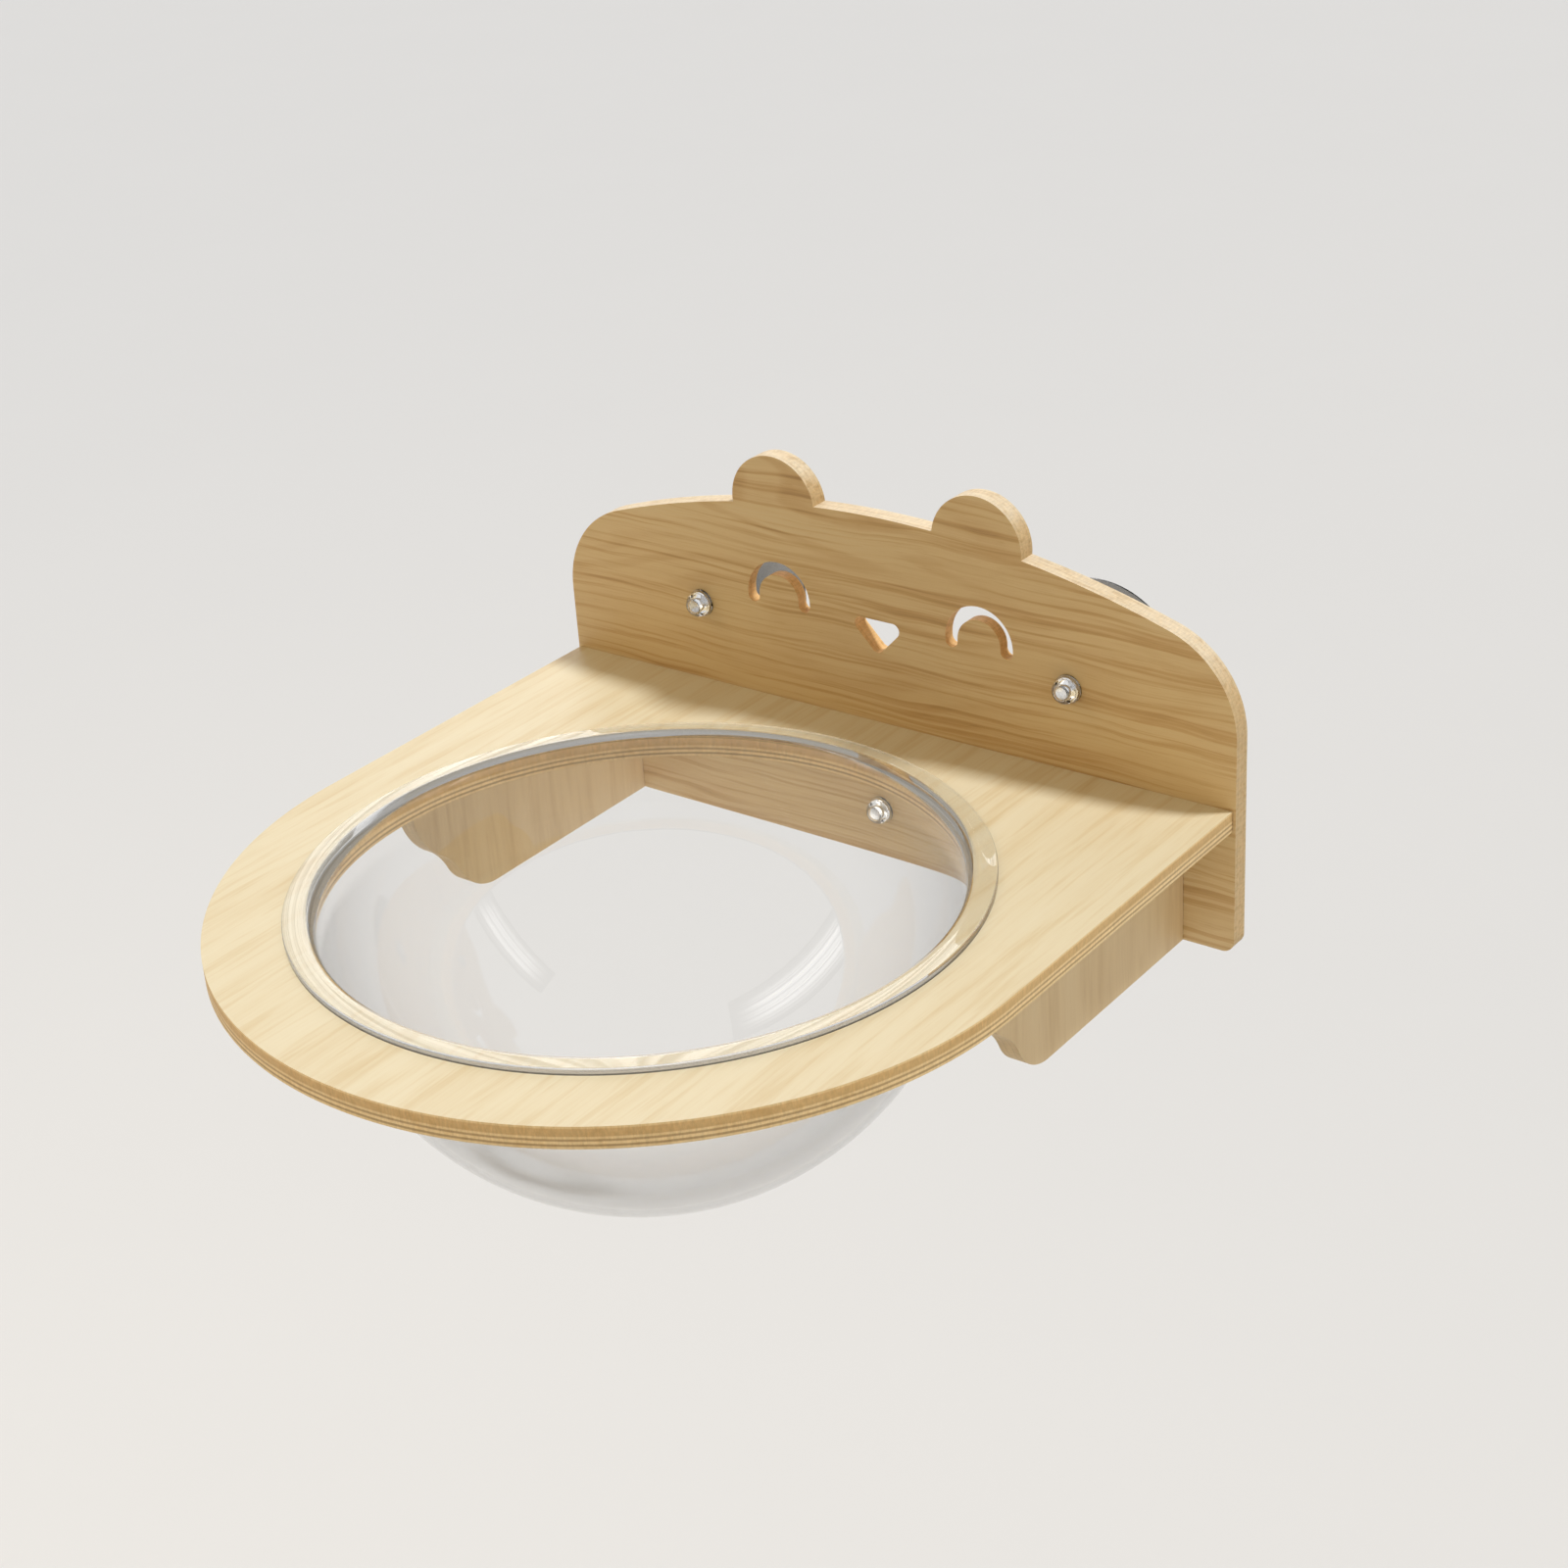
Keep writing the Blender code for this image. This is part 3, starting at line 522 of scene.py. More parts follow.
boardWood = woodFinish("boardWood", {
    "along": "Y", "across": "X", "through": "Z", "low": boardLow.z, "high": boardHigh.z,
    "waver": 0.006, "waverScale": (7, 30, 30), "streakScale": (17, 300, 300), "streakDepth": 0.10,
    "ringScale": (1.5, 13, 9), "ringShift": 2.3, "ringWarp": 0.25, "ringCount": 7, "ringDepth": 0.04,
    "patchScale": (3, 12, 12), "driftScale": (6, 60, 60), "driftDepth": 0.26, "fibreDepth": 0.20,
    "poreDepth": 0.04, "tones": paleTones, "edgeTones": edgeTones, "plies": boardPlies, "arrisHighlight": 0.25,
    "arrisHighlightColour": (0.80, 0.66, 0.43), "roughness": 0.46,
})
panelWood = woodFinish("panelWood", {
    "along": "X", "across": "Z", "through": "Y", "low": panelLow.y, "high": panelHigh.y,
    "waver": 0.010, "waverScale": (11, 26, 26), "streakScale": (8, 430, 430), "streakDepth": 0.22,
    "ringScale": (2.6, 15, 9), "ringShift": 6.1, "ringWarp": 0.4, "ringCount": 17, "ringDepth": 0.12,
    "patchScale": (4, 12, 12), "driftScale": (5, 60, 60), "driftDepth": 0.22, "fibreDepth": 0.22,
    "poreDepth": 0.06, "tones": shadedFaceTones, "edgeTones": creamTones, "plies": faintPlies, "arrisHighlight": 0.5,
    "arrisHighlightColour": (0.86, 0.72, 0.50), "roughness": 0.48, "endTint": (0.81, 0.69, 0.50),
    # painted light on the cut-out walls, and the bounds it stays within
    "cutWallLight": (1.08, 0.86, 0.56), "cutBounds": (0.085, 0.025, 0.080),
})
bracketWood = woodFinish("bracketWood", {
    "along": "Z", "across": "Y", "through": "X", "mirrored": True, "low": bracketLow.x, "high": bracketHigh.x,
    "waver": 0.005, "waverScale": (12, 30, 30), "streakScale": (16, 200, 200), "streakDepth": 0.08,
    "ringScale": (3.0, 15, 9), "ringShift": 4.4, "ringWarp": 0.3, "ringCount": 6, "ringDepth": 0.04,
    "patchScale": (5, 10, 12), "driftScale": (7, 60, 60), "driftDepth": 0.26, "fibreDepth": 0.20,
    "poreDepth": 0.05, "tones": bracketTones, "edgeTones": bracketTones, "plies": duskyPlies,
    "arrisHighlight": 0.3, "arrisHighlightColour": (0.70, 0.54, 0.33), "roughness": 0.50,
})
dowelWood = woodFinish("dowelWood", {
    "along": "Z", "across": "X", "through": "Y", "low": -0.2, "high": 0.2,
    "waver": 0.001, "waverScale": (20, 60, 60), "streakScale": (30, 900, 900), "streakDepth": 0.10,
    "ringScale": (9, 200, 200), "ringShift": 1.1, "ringWarp": 0.2, "ringCount": 3, "ringDepth": 0.10,
    "patchScale": (5, 60, 60), "driftScale": (9, 300, 300), "driftDepth": 0.30, "fibreDepth": 0.20,
    "poreDepth": 0.05, "tones": bracketTones, "edgeTones": bracketTones, "plies": faintPlies,
    "arrisHighlight": 0.0, "arrisHighlightColour": (0.60, 0.40, 0.20), "roughness": 0.60,
})
print("wood finishes made")

acrylic = clearFinish("acrylic", {
    "colour": (0.990, 0.992, 0.992), "turnedShadeColour": (0.56, 0.56, 0.565), "clearAbove": -0.012,
    "outline": 0.0, "edgeShadeColour": (0.30, 0.28, 0.25), "trapped": 0.42, "trappedColour": (1.0, 0.93, 0.80),
    "ior": 1.49, "roughness": 0.0, "smear": 0.03, "smearScale": 38,
    "wave": 0.05, "waveScale": 22, "shadow": (0.995, 0.995, 0.995), "depthColour": (0.10, 0.10, 0.10),
    "density": 12.0,
})
clearPlastic = clearFinish("clearPlastic", {
    "colour": (0.980, 0.985, 0.990), "turnedShadeColour": (0.90, 0.92, 0.95), "clearAbove": 0.2, "outline": 1.0,
    "ior": 1.49, "roughness": 0.02, "smear": 0.05, "smearScale": 300,
    "wave": 0.12, "waveScale": 260, "shadow": (0.82, 0.83, 0.84), "depthColour": (0.20, 0.30, 0.40),
    "density": 6.0,
})
# painted shade: the cups' clear vinyl is given a dark grey-brown, darker still where it turns away, for the
# dark rims that show past the panel
cupVinyl = clearFinish("cupVinyl", {
    "colour": (0.360, 0.350, 0.330), "turnedShadeColour": (0.07, 0.065, 0.06), "clearAbove": 0.2, "outline": 1.0,
    "ior": 1.50, "roughness": 0.10, "smear": 0.12, "smearScale": 120,
    "wave": 0.15, "waveScale": 140, "shadow": (0.50, 0.52, 0.56), "depthColour": (0.20, 0.26, 0.34),
    "density": 110.0,
})
steel = steelFinish("steel", {"bright": (0.66, 0.66, 0.67), "dull": (0.42, 0.42, 0.43)})
print("clear finishes and steel made")

# platform board: a half round front, straight sides and the bowl's hole
board = {
    "thickness": 0.0105, "rim": 0.0455, "rearRim": 0.040, "easing": 0.0008, "noseSteps": 110,
    "holeSteps": 180,
}


def boardOutline():
    halfWidth = holeRadius + board["rim"]
    half = arcPoints((0, 0), halfWidth, -quarter, 0, board["noseSteps"])
    half[0].x = 0
    half.append(Vector((halfWidth, holeRadius + board["rearRim"] - seatGap)))
    return mirrored(half)


hole = arcPoints((0, 0), holeRadius, 0, fullTurn, board["holeSteps"])[:-1]
mesh = plateMesh("platformBoard", [boardOutline(), hole], board["thickness"], board["easing"])
place = Matrix.Translation((0, bowlY, -board["thickness"] / 2))
platformBoard = addPiece("platformBoard", mesh, place, boardWood, "frame", "board_wood", "platform_board")
evenShading(platformBoard)
print("board made,", len(mesh.polygons), "faces")

# suction cups, studs, washers and dome nuts stand on three axes through the panel
fixings = {
    "upper_left": (-0.109, 0.0428),
    "upper_right": (0.109, 0.0428),
    "lower": (0.0, -0.048),
}
cup = {
    "radius": 0.0445, "lip": 0.0025, "lipEasing": 0.0005, "rim": 0.0016, "hollow": 0.008, "web": 0.0025,
    "standoff": 0.020, "bossRadius": 0.0125, "bossHeight": 0.0055, "bossEasing": 0.0012, "skirtCurve": 1.3,
    "curveSteps": 26, "turnSteps": 96,
}
stud = {
    "radius": 0.003, "headRadius": 0.007, "headThickness": 0.0025, "headEasing": 0.0004, "chamfer": 0.0006,
    "pitch": 0.001, "threadDepth": 0.0005, "clearance": 0.0003, "stepsPerTurn": 8, "turnSteps": 32,
}
washer = {"radius": 0.0072, "thickness": 0.0012, "easing": 0.0003, "turnSteps": 64}
nut = {
    "radius": 0.0062, "skirt": 0.0023, "dome": 0.0055, "bore": 0.0056, "easing": 0.0004, "tipGap": 0.0008,
    "domeSteps": 18, "turnSteps": 64,
}

# back panel: ears, eyes and nose, and holes for the studs and the screws
panel = {
    "overhang": 0.0015, "drop": 0.075, "rise": 0.109, "cornerRadius": 0.0065, "crownRadius": 0.520,
    "shoulderRadius": 0.051, "easing": 0.0008,
}
face = {
    "spread": 0.0593, "earRadius": 0.025, "earSink": 0.0008, "eyeHeight": 0.055, "eyeRadius": 0.0191,
    "eyeSlot": 0.007, "eyeLeg": 0.0015, "eyeLand": 0.0065, "noseHeight": 0.0512, "noseHalfWidth": 0.0094,
    "noseDepth": 0.0098, "noseRounding": 0.0038, "noseLand": 0.0092,
}
screw = {
    "radius": 0.002, "headRadius": 0.0044, "headEdge": 0.0004, "length": 0.036, "point": 0.004,
    "sink": 0.0003, "clearance": 0.0003, "socketRadius": 0.00145, "socketDepth": 0.0018, "turnSteps": 32,
}
bracketX = (bracketLow.x + bracketHigh.x) / 2
boardScrewX = (-0.130, -0.050, 0.050, 0.130)
bracketScrewZ = (-0.028, -0.060)
panelThickness = panelHigh.y - panelLow.y
overcut = 0.002


def panelOutline():
    # up the right side: corner, shoulder, crown, ear and crown again
    side = holeRadius + board["rim"] + panel["overhang"]
    crown = Vector((0, panel["rise"] - panel["crownRadius"]))
    corner = (side - panel["cornerRadius"], -panel["drop"] + panel["cornerRadius"])
    shoulderX = side - panel["shoulderRadius"]
    reach = panel["crownRadius"] - panel["shoulderRadius"]
    shoulder = Vector((shoulderX, crown.y + math.sqrt(reach ** 2 - shoulderX ** 2)))
    meeting = angleFrom(crown, shoulder)
    earZ = crown.y + math.sqrt(panel["crownRadius"] ** 2 - face["spread"] ** 2) - face["earSink"]
    ear = Vector((face["spread"], earZ))
    outside = circlesCross(crown, panel["crownRadius"], ear, face["earRadius"], -1)
    inside = circlesCross(crown, panel["crownRadius"], ear, face["earRadius"], 1)
    half = arcPoints(corner, panel["cornerRadius"], -quarter, 0, 16)
    half += arcPoints(shoulder, panel["shoulderRadius"], 0, meeting, 34)
    half += arcPoints(crown, panel["crownRadius"], meeting, angleFrom(crown, outside), 22)[1:-1]
    first = angleFrom(ear, outside)
    half += arcPoints(ear, face["earRadius"], first, first + (angleFrom(ear, inside) - first) % fullTurn, 48)
    half += arcPoints(crown, panel["crownRadius"], angleFrom(crown, inside), quarter, 12)[1:]
    half[-1].x = 0
    return mirrored(half)


def eyeOutline(grow):
    # an arched slot, grown by the same amount all round
    middle = face["eyeRadius"] - face["eyeSlot"] / 2
    end = face["eyeSlot"] / 2 + grow
    outline = arcPoints((0, 0), middle + end, 0, math.pi, 44)
    outline += arcPoints((-middle, -face["eyeLeg"]), end, math.pi, fullTurn, 14)
    outline += arcPoints((0, 0), middle - end, math.pi, 0, 44)
    outline += arcPoints((middle, -face["eyeLeg"]), end, math.pi, fullTurn, 14)
    return outline


def noseOutline(grow):
    # a triangle, point down, with round corners
    corners = [(face["noseHalfWidth"], 0), (-face["noseHalfWidth"], 0), (0, -face["noseDepth"])]
    outline = []
    for i, corner in enumerate(corners):
        before = angleFrom(corners[i - 1], corner)
        after = angleFrom(corner, corners[(i + 1) % 3])
        start = before - quarter
        turn = (after - before) % fullTurn
        outline += arcPoints(corner, face["noseRounding"] + grow, start, start + turn, 12)
    return outline


def faceCutter(name, outlineAt, land, x, z):
    # straight through the front of the panel, then wider and wider to its back
    flare = panelThickness - land
    sections = [
        (outlineAt(0), overcut),
        (outlineAt(0), -land),
        (outlineAt(flare + overcut), -panelThickness - overcut),
    ]
    return loftedCutter(name, sections, Matrix.Translation((x, panelLow.y, z)) @ facingRoom)


def screwProfile(grow, above):
    head = screw["headRadius"] + grow
    shank = screw["radius"] + grow
    cone = screw["headRadius"] - screw["radius"]
    end = -screw["length"] - grow
    return [(0, above), (head, above), (head, -screw["headEdge"]), (shank, -screw["headEdge"] - cone),
            (shank, end + screw["point"]), (0, end)]


screwPlaces = {}
for number, x in enumerate(boardScrewX, 1):
    screwPlaces["board_screw_" + str(number)] = (x, panelHigh.y - screw["sink"], -board["thickness"] / 2)
for number, z in enumerate(bracketScrewZ, 1):
    screwPlaces["left_bracket_screw_" + str(number)] = (-bracketX, panelHigh.y - screw["sink"], z)
    screwPlaces["right_bracket_screw_" + str(number)] = (bracketX, panelHigh.y - screw["sink"], z)

panelMiddle = (panelLow.y + panelHigh.y) / 2
cutters = [
    faceCutter("rightEyeCutter", eyeOutline, face["eyeLand"], face["spread"], face["eyeHeight"]),
    faceCutter("leftEyeCutter", eyeOutline, face["eyeLand"], -face["spread"], face["eyeHeight"]),
    faceCutter("noseCutter", noseOutline, face["noseLand"], 0, face["noseHeight"]),
]
for name, (x, z) in fixings.items():
    radius = stud["radius"] + stud["clearance"]
    reach = panelThickness / 2 + overcut
    mesh = turnedMesh(name + "Hole", [(0, reach), (radius, reach), (radius, -reach), (0, -reach)], 48)
    mesh.transform(Matrix.Translation((x, panelMiddle, z)) @ facingRoom)
    cutters.append(looseObject(name + "Hole", mesh))
for name, place in screwPlaces.items():
    mesh = turnedMesh(name + "Hole", screwProfile(screw["clearance"], overcut), screw["turnSteps"])
    mesh.transform(Matrix.Translation(place) @ facingWindow)
    cutters.append(looseObject(name + "Hole", mesh))

# the cutters stand in the row frame, so they are turned back into the plate's own frame for cutting
panelPlace = Matrix.Translation((0, panelMiddle, 0)) @ facingRoom
for cutter in cutters:
    cutter.data.transform(panelPlace.inverted())
mesh = plateMesh("catPanel", [panelOutline()], panelThickness, panel["easing"], cutters)
catPanel = addPiece("catPanel", mesh, panelPlace, panelWood, "frame", "panel_wood", "back_panel")
evenShading(catPanel)
print("panel made,", len(mesh.polygons), "faces")

# brackets: a scalloped end of two lobes with a cove between them
bracket = {
    "thickness": 0.0105, "length": 0.175, "toeRadius": 0.0417, "coveRadius": 0.0387, "heelRadius": 0.0262,
    "heelSetback": 0.0535, "easing": 0.0008, "lobeSteps": 24,
}


def bracketOutline():
    # seen from the right: x runs from the panel's front, y = 0 is the top edge
    bottom = -(panel["drop"] - board["thickness"] - seatGap)
    steps = bracket["lobeSteps"]
    upper = Vector((bracket["toeRadius"] - bracket["length"], 0))
    lower = Vector((bracket["heelSetback"] - bracket["length"], bottom + bracket["heelRadius"]))
    upperReach = bracket["toeRadius"] + bracket["coveRadius"]
    lowerReach = bracket["heelRadius"] + bracket["coveRadius"]
    cove = circlesCross(upper, upperReach, lower, lowerReach, -1)
    into = angleFrom(cove, upper)
    out = angleFrom(cove, lower)
    outline = arcPoints(upper, bracket["toeRadius"], math.pi, math.pi + into, steps)
    outline += arcPoints(cove, bracket["coveRadius"], into, out, steps)[1:]
    outline += arcPoints(lower, bracket["heelRadius"], math.pi + out, 3 * quarter, steps)[1:]
    return outline + [Vector((-seatGap, bottom)), Vector((-seatGap, 0))]


for side, x in (("left", -bracketX), ("right", bracketX)):
    mesh = plateMesh(side + "Bracket", [bracketOutline()], bracket["thickness"], bracket["easing"])
    place = Matrix.Translation((x, panelLow.y, -board["thickness"] - seatGap)) @ alongBracket
    piece = addPiece(side + "Bracket", mesh, place, bracketWood, "frame", "bracket_wood", side + "_bracket")
    evenShading(piece)
print("brackets made")

# bowl: a clear half sphere that hangs by its flange
bowl = {
    "wall": 0.003, "flangeWidth": 0.011, "flangeThickness": 0.003, "flangeEasing": 0.001,
    "mouthRadius": 0.007, "arcSteps": 64, "mouthSteps": 14, "easingSteps": 8, "turnSteps": 192,
}


def bowlProfile():
    inside = bowlRadius - bowl["wall"]
    top = bowl["flangeThickness"]
    outer = bowlRadius + bowl["flangeWidth"]
    easing = bowl["flangeEasing"]
    mouth = bowl["mouthRadius"]
    mouthX = math.sqrt((inside + mouth) ** 2 - (top - mouth) ** 2)
    meeting = math.atan2(top - mouth, mouthX)
    profile = arcPoints((0, 0), inside, -quarter, meeting, bowl["arcSteps"])
    profile += arcPoints((mouthX, top - mouth), mouth, math.pi + meeting, quarter, bowl["mouthSteps"])[1:]
    profile += arcPoints((outer - easing, top - easing), easing, quarter, 0, bowl["easingSteps"])
    profile.append(Vector((outer, 0)))
    profile += arcPoints((0, 0), bowlRadius, 0, -quarter, bowl["arcSteps"])
    profile[0].x = 0
    profile[-1].x = 0
    return profile


mesh = turnedMesh("bowl", bowlProfile(), bowl["turnSteps"])
place = Matrix.Translation((0, bowlY, bowlHigh.z - bowl["flangeThickness"]))
addPiece("bowl", mesh, place, acrylic, "bowl", "acrylic", "acrylic_bowl", sharpAngle=40)
print("bowl made,", len(mesh.polygons), "faces")


def cupProfile():
    # from the floor of the stud's pocket, over the boss and the skirt to the lip, and into the hollow
    front = cup["standoff"] - seatGap
    shoulder = front - cup["bossHeight"]
    floor = cup["hollow"] + cup["web"]
    ceiling = floor + stud["headThickness"] + 2 * stud["clearance"]
    pocket = stud["headRadius"] + stud["clearance"]
    bore = stud["radius"] + stud["clearance"]
    lip = cup["radius"] - cup["lip"]
    easing = cup["bossEasing"]
    profile = [(0, floor), (pocket, floor), (pocket, ceiling), (bore, ceiling), (bore, front)]
    for point in arcPoints((cup["bossRadius"] - easing, front - easing), easing, quarter, 0, 6):
        profile.append((point.x, point.y))
    for i in range(cup["curveSteps"] + 1):
        out = i / cup["curveSteps"]
        radius = cup["bossRadius"] + (cup["radius"] - cup["bossRadius"]) * out
        profile.append((radius, cup["rim"] + (shoulder - cup["rim"]) * (1 - out) ** cup["skirtCurve"]))
    profile += [(cup["radius"], cup["rim"] * 0.4), (cup["radius"] - cup["lipEasing"], 0)]
    for i in range(cup["curveSteps"] + 1):
        radius = lip * (1 - i / cup["curveSteps"])
        profile.append((radius, cup["hollow"] * (1 - (radius / lip) ** 2)))
    return profile


def studProfile(length):
    # head down, then a thread to the chamfered end
    head = stud["headThickness"]
    broad = stud["headRadius"]
    easing = stud["headEasing"]
    profile = [(0, 0), (broad - easing, 0), (broad, easing), (broad, head - easing)]
    profile += [(broad - easing, head), (stud["radius"], head)]
    rows = math.ceil(length / stud["pitch"] * stud["stepsPerTurn"])
    for i in range(1, rows):
        height = head + length * i / rows
        radius = min(stud["radius"], stud["radius"] - stud["chamfer"] + head + length - height)
        profile.append((radius, height, stud["threadDepth"]))
    profile += [(stud["radius"] - stud["chamfer"], head + length), (0, head + length)]
    return profile


def nutProfile():
    # an oval dome on a short skirt, with a blind bore
    bore = stud["radius"] + stud["clearance"]
    easing = nut["easing"]
    profile = []
    for point in arcPoints((0, 0), 1, quarter, 0, nut["domeSteps"]):
        profile.append((nut["radius"] * point.x, nut["skirt"] + nut["dome"] * point.y))
    profile[0] = (0, nut["skirt"] + nut["dome"])
    profile += [(nut["radius"], easing), (nut["radius"] - easing, 0), (bore + easing, 0), (bore, easing)]
    return profile + [(bore, nut["bore"]), (0, nut["bore"])]


def washerProfile():
    inner = stud["radius"] + stud["clearance"]
    outer = washer["radius"]
    easing = washer["easing"]
    top = washer["thickness"]
    return [(inner, top), (outer - easing, top), (outer, top - easing), (outer, easing), (outer - easing, 0),
            (inner, 0)]


nutBase = 2 * seatGap + washer["thickness"]
studFoot = cup["hollow"] + cup["web"] + stud["clearance"]
studTip = cup["standoff"] + panelThickness + nutBase + nut["bore"] - nut["tipGap"]
for name, (x, z) in fixings.items():
    axis = Matrix.Translation((x, 0, z)) @ facingRoom
    front = cup["standoff"] + panelThickness
    mesh = turnedMesh(name + "Cup", cupProfile(), cup["turnSteps"])
    addPiece(name + "Cup", mesh, axis, cupVinyl, "frame", "cup_vinyl", name + "_suction_cup")
    profile = studProfile(studTip - studFoot - stud["headThickness"])
    mesh = turnedMesh(name + "Stud", profile, stud["turnSteps"], stud["pitch"])
    addPiece(name + "Stud", mesh, axis @ Matrix.Translation((0, 0, studFoot)), steel, "frame", "steel",
             name + "_cup_stud", sharpAngle=60)
    mesh = turnedMesh(name + "Washer", washerProfile(), washer["turnSteps"])
    addPiece(name + "Washer", mesh, axis @ Matrix.Translation((0, 0, front + seatGap)), clearPlastic, "frame",
             "clear_plastic", name + "_washer")
    mesh = turnedMesh(name + "DomeNut", nutProfile(), nut["turnSteps"])
    addPiece(name + "DomeNut", mesh, axis @ Matrix.Translation((0, 0, front + nutBase)), clearPlastic,
             name + "_nut", "clear_plastic", name + "_dome_nut")
print("cups and their fixings made")

# countersunk screws with a hexagonal socket
hexagon = [Vector((screw["socketRadius"] * math.cos(math.radians(60 * i)),
                   screw["socketRadius"] * math.sin(math.radians(60 * i)))) for i in range(6)]
for name, spot in screwPlaces.items():
    made = looseObject(name, turnedMesh(name, screwProfile(0, 0), screw["turnSteps"]))
    socket = loftedCutter("socket", [(hexagon, -screw["socketDepth"]), (hexagon, screw["socketDepth"])],
                          Matrix.Identity(4))
    recess = made.modifiers.new("socket", "BOOLEAN")
    recess.operation = "DIFFERENCE"
    recess.solver = "EXACT"
    recess.object = socket
    mesh = shapedMesh(made)
    bpy.data.objects.remove(socket, do_unlink=True)
    addPiece(name + "_head", mesh, Matrix.Translation(spot) @ facingWindow, steel, "frame", "steel", name)
print("screws made")

# the dowels stay as they are, in their own wood
for side in ("left", "right"):
    for number in (1, 2):
        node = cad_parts[side + "_bracket_dowel_" + str(number)]
        node.data.materials[0] = dowelWood

# floor, light and camera
studio = {
    "floorHeight": -0.90, "floorRadius": 40.0, "floorColour": (0.78, 0.815, 0.865),
    "sunFrom": (0.34, 0.27, 0.95), "sunPower": 2.32, "sunSpread": 9.0,
    "fill": 0.27, "fillColour": (1.0, 0.80, 0.54), "pale": 0.80, "mirrored": 1.0, "mottle": 0.985,
}
softboxes = {
    "leftBox": {"place": (-1.5, -0.9, 1.5), "aim": (0, -0.2, 0), "size": (1.0, 1.4), "power": 9},
    "frontBox": {"place": (0.5, -2.2, 1.2), "aim": (0, -0.2, -0.05), "size": (1.6, 0.9), "power": 8},
}
glowCards = {
    "leftCard": {"place": (-1.1, -1.0, 1.0), "aim": (0, -0.2, -0.05), "size": (0.55, 1.8), "glow": 5.5},
    "rightCard": {"place": (1.5, 0.3, 0.9), "aim": (0, -0.2, -0.05), "size": (0.35, 1.3), "glow": 4.5},
    "rearCard": {"place": (-1.1, 1.2, 0.9), "aim": (0, -0.2, 0), "size": (2.6, 2.0), "glow": 3.8},
}

disc = bmesh.new()
bmesh.ops.create_circle(disc, cap_ends=True, segments=96, radius=studio["floorRadius"])
mesh = bpy.data.meshes.new("floor")
disc.to_mesh(mesh)
disc.free()
floorFinish, tree, shader = newFinish("floorFinish")
place = addNode(tree, "ShaderNodeTexCoord").outputs["Object"]
mottle = noise(tree, place, 4.0, 0.6, 0.0, 3.0)
paler = studio["floorColour"]
darker = tuple(c * studio["mottle"] for c in paler)
tree.links.new(colourMix(tree, mottle, paler, darker), shader.inputs["Base Color"])
shader.inputs["Roughness"].default_value = 0.9
shader.inputs["Specular IOR Level"].default_value = 0.1
mesh.materials.append(floorFinish)
floor = looseObject("floor", mesh)
floor.location.z = studio["floorHeight"]

world = bpy.data.worlds.new("paleRoom")
bpy.context.scene.world = world
world.use_nodes = True
tree = world.node_tree
path = addNode(tree, "ShaderNodeLightPath").outputs
clearView = sums(tree, "LESS_THAN", path["Diffuse Depth"], 0.5)
through = sums(tree, "MULTIPLY", path["Is Transmission Ray"], clearView)
seen = sums(tree, "MAXIMUM", path["Is Camera Ray"], through)
mirrorRay = sums(tree, "GREATER_THAN", path["Is Glossy Ray"], path["Is Transmission Ray"])
reflected = sums(tree, "MULTIPLY", mirrorRay, clearView)
strength = ranged(tree, seen, 0.0, 1.0, studio["fill"], studio["pale"], smooth=False)
strength = ranged(tree, reflected, 0.0, 1.0, strength, studio["mirrored"], smooth=False)
whiteness = sums(tree, "MAXIMUM", seen, reflected)
background = tree.nodes["Background"]
tree.links.new(colourMix(tree, whiteness, studio["fillColour"], (1, 1, 1)), background.inputs["Color"])
tree.links.new(strength, background.inputs["Strength"])


def aimed(thing, place, aim):
    thing.location = place
    thing.rotation_mode = "QUATERNION"
    thing.rotation_quaternion = (Vector(aim) - Vector(place)).to_track_quat("-Z", "Y")


lamp = bpy.data.lights.new("keyLight", "SUN")
lamp.energy = studio["sunPower"]
lamp.angle = math.radians(studio["sunSpread"])
keyLight = looseObject("keyLight", lamp)
aimed(keyLight, studio["sunFrom"], (0, 0, 0))
keyLight.visible_glossy = False
keyLight.visible_transmission = False
for name, facts in softboxes.items():
    lamp = bpy.data.lights.new(name, "AREA")
    lamp.shape = "RECTANGLE"
    lamp.size, lamp.size_y = facts["size"]
    lamp.energy = facts["power"]
    lamp.color = studio["fillColour"]
    softbox = looseObject(name, lamp)
    aimed(softbox, facts["place"], facts["aim"])
    softbox.visible_glossy = False
    softbox.visible_transmission = False

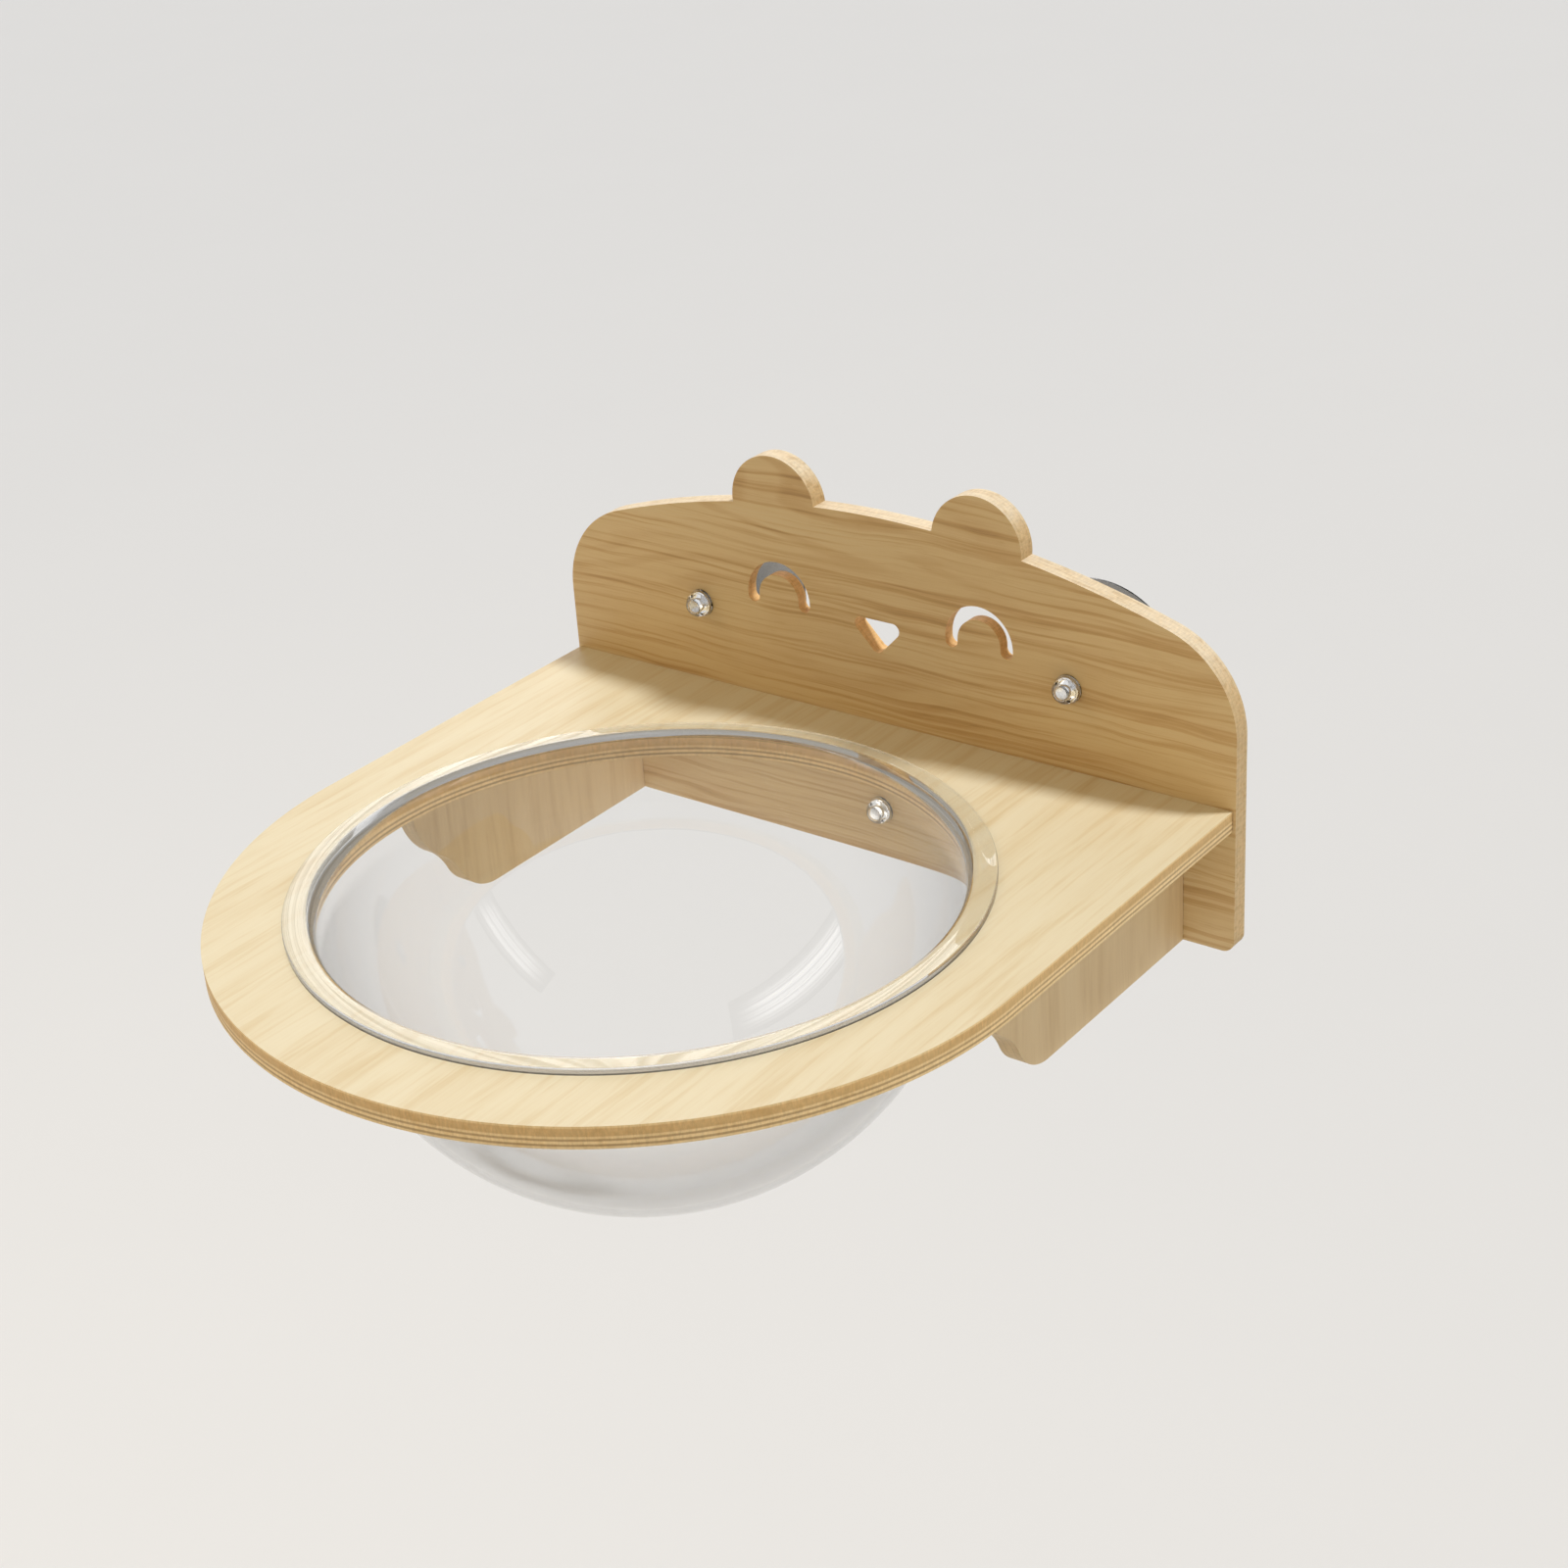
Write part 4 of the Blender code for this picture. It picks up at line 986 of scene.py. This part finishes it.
# soft-edged, striped cards that only show as reflections
stripeScale = 24.0
for name, facts in glowCards.items():
    halfWidth, halfHeight = facts["size"][0] / 2, facts["size"][1] / 2
    mesh = bpy.data.meshes.new(name)
    corners = [(-halfWidth, -halfHeight, 0), (halfWidth, -halfHeight, 0), (halfWidth, halfHeight, 0)]
    corners.append((-halfWidth, halfHeight, 0))
    mesh.from_pydata(corners, [], [(0, 1, 2, 3)])
    glowing, tree, shader = newFinish(name)
    place = addNode(tree, "ShaderNodeTexCoord").outputs["Object"]
    spot = addNode(tree, "ShaderNodeSeparateXYZ", [(0, place)])
    sideways = ranged(tree, sums(tree, "ABSOLUTE", spot.outputs["X"]), 0.1 * halfWidth, halfWidth, 1.0, 0.0)
    upright = ranged(tree, sums(tree, "ABSOLUTE", spot.outputs["Y"]), 0.4 * halfHeight, halfHeight, 1.0, 0.0)
    stripes = addNode(tree, "ShaderNodeCombineXYZ", [(0, spot.outputs["X"])]).outputs[0]
    stripes = ranged(tree, noise(tree, stripes, 2.0, 0.5, 0.0, stripeScale), 0.42, 0.56, 0.30, 1.0)
    glow = sums(tree, "MULTIPLY", sums(tree, "MULTIPLY", sideways, upright), stripes)
    glow = sums(tree, "MULTIPLY", glow, facts["glow"])
    shader.inputs["Base Color"].default_value = (0, 0, 0, 1)
    shader.inputs["Emission Color"].default_value = (1, 1, 1, 1)
    tree.links.new(glow, shader.inputs["Emission Strength"])
    mesh.materials.append(glowing)
    card = looseObject(name, mesh)
    aimed(card, facts["place"], facts["aim"])
    card.visible_camera = False
    card.visible_diffuse = False
    card.visible_transmission = False
    card.visible_shadow = False

view = {"place": (0.7213, -1.0299, 0.5851), "turned": 38.15, "tipped": 26.56, "rolled": -3.91, "lens": 62.97}
lens = bpy.data.cameras.new("photoCamera")
lens.lens = view["lens"]
lens.sensor_width = 36
camera = looseObject("photoCamera", lens)
camera.matrix_world = (
    Matrix.Translation(view["place"])
    @ Matrix.Rotation(math.radians(view["turned"]), 4, "Z")
    @ Matrix.Rotation(math.radians(90 - view["tipped"]), 4, "X")
    @ Matrix.Rotation(math.radians(view["rolled"]), 4, "Z")
)
bpy.context.scene.camera = camera
bpy.context.scene.view_settings.view_transform = "Standard"
print("floor, light and camera set")
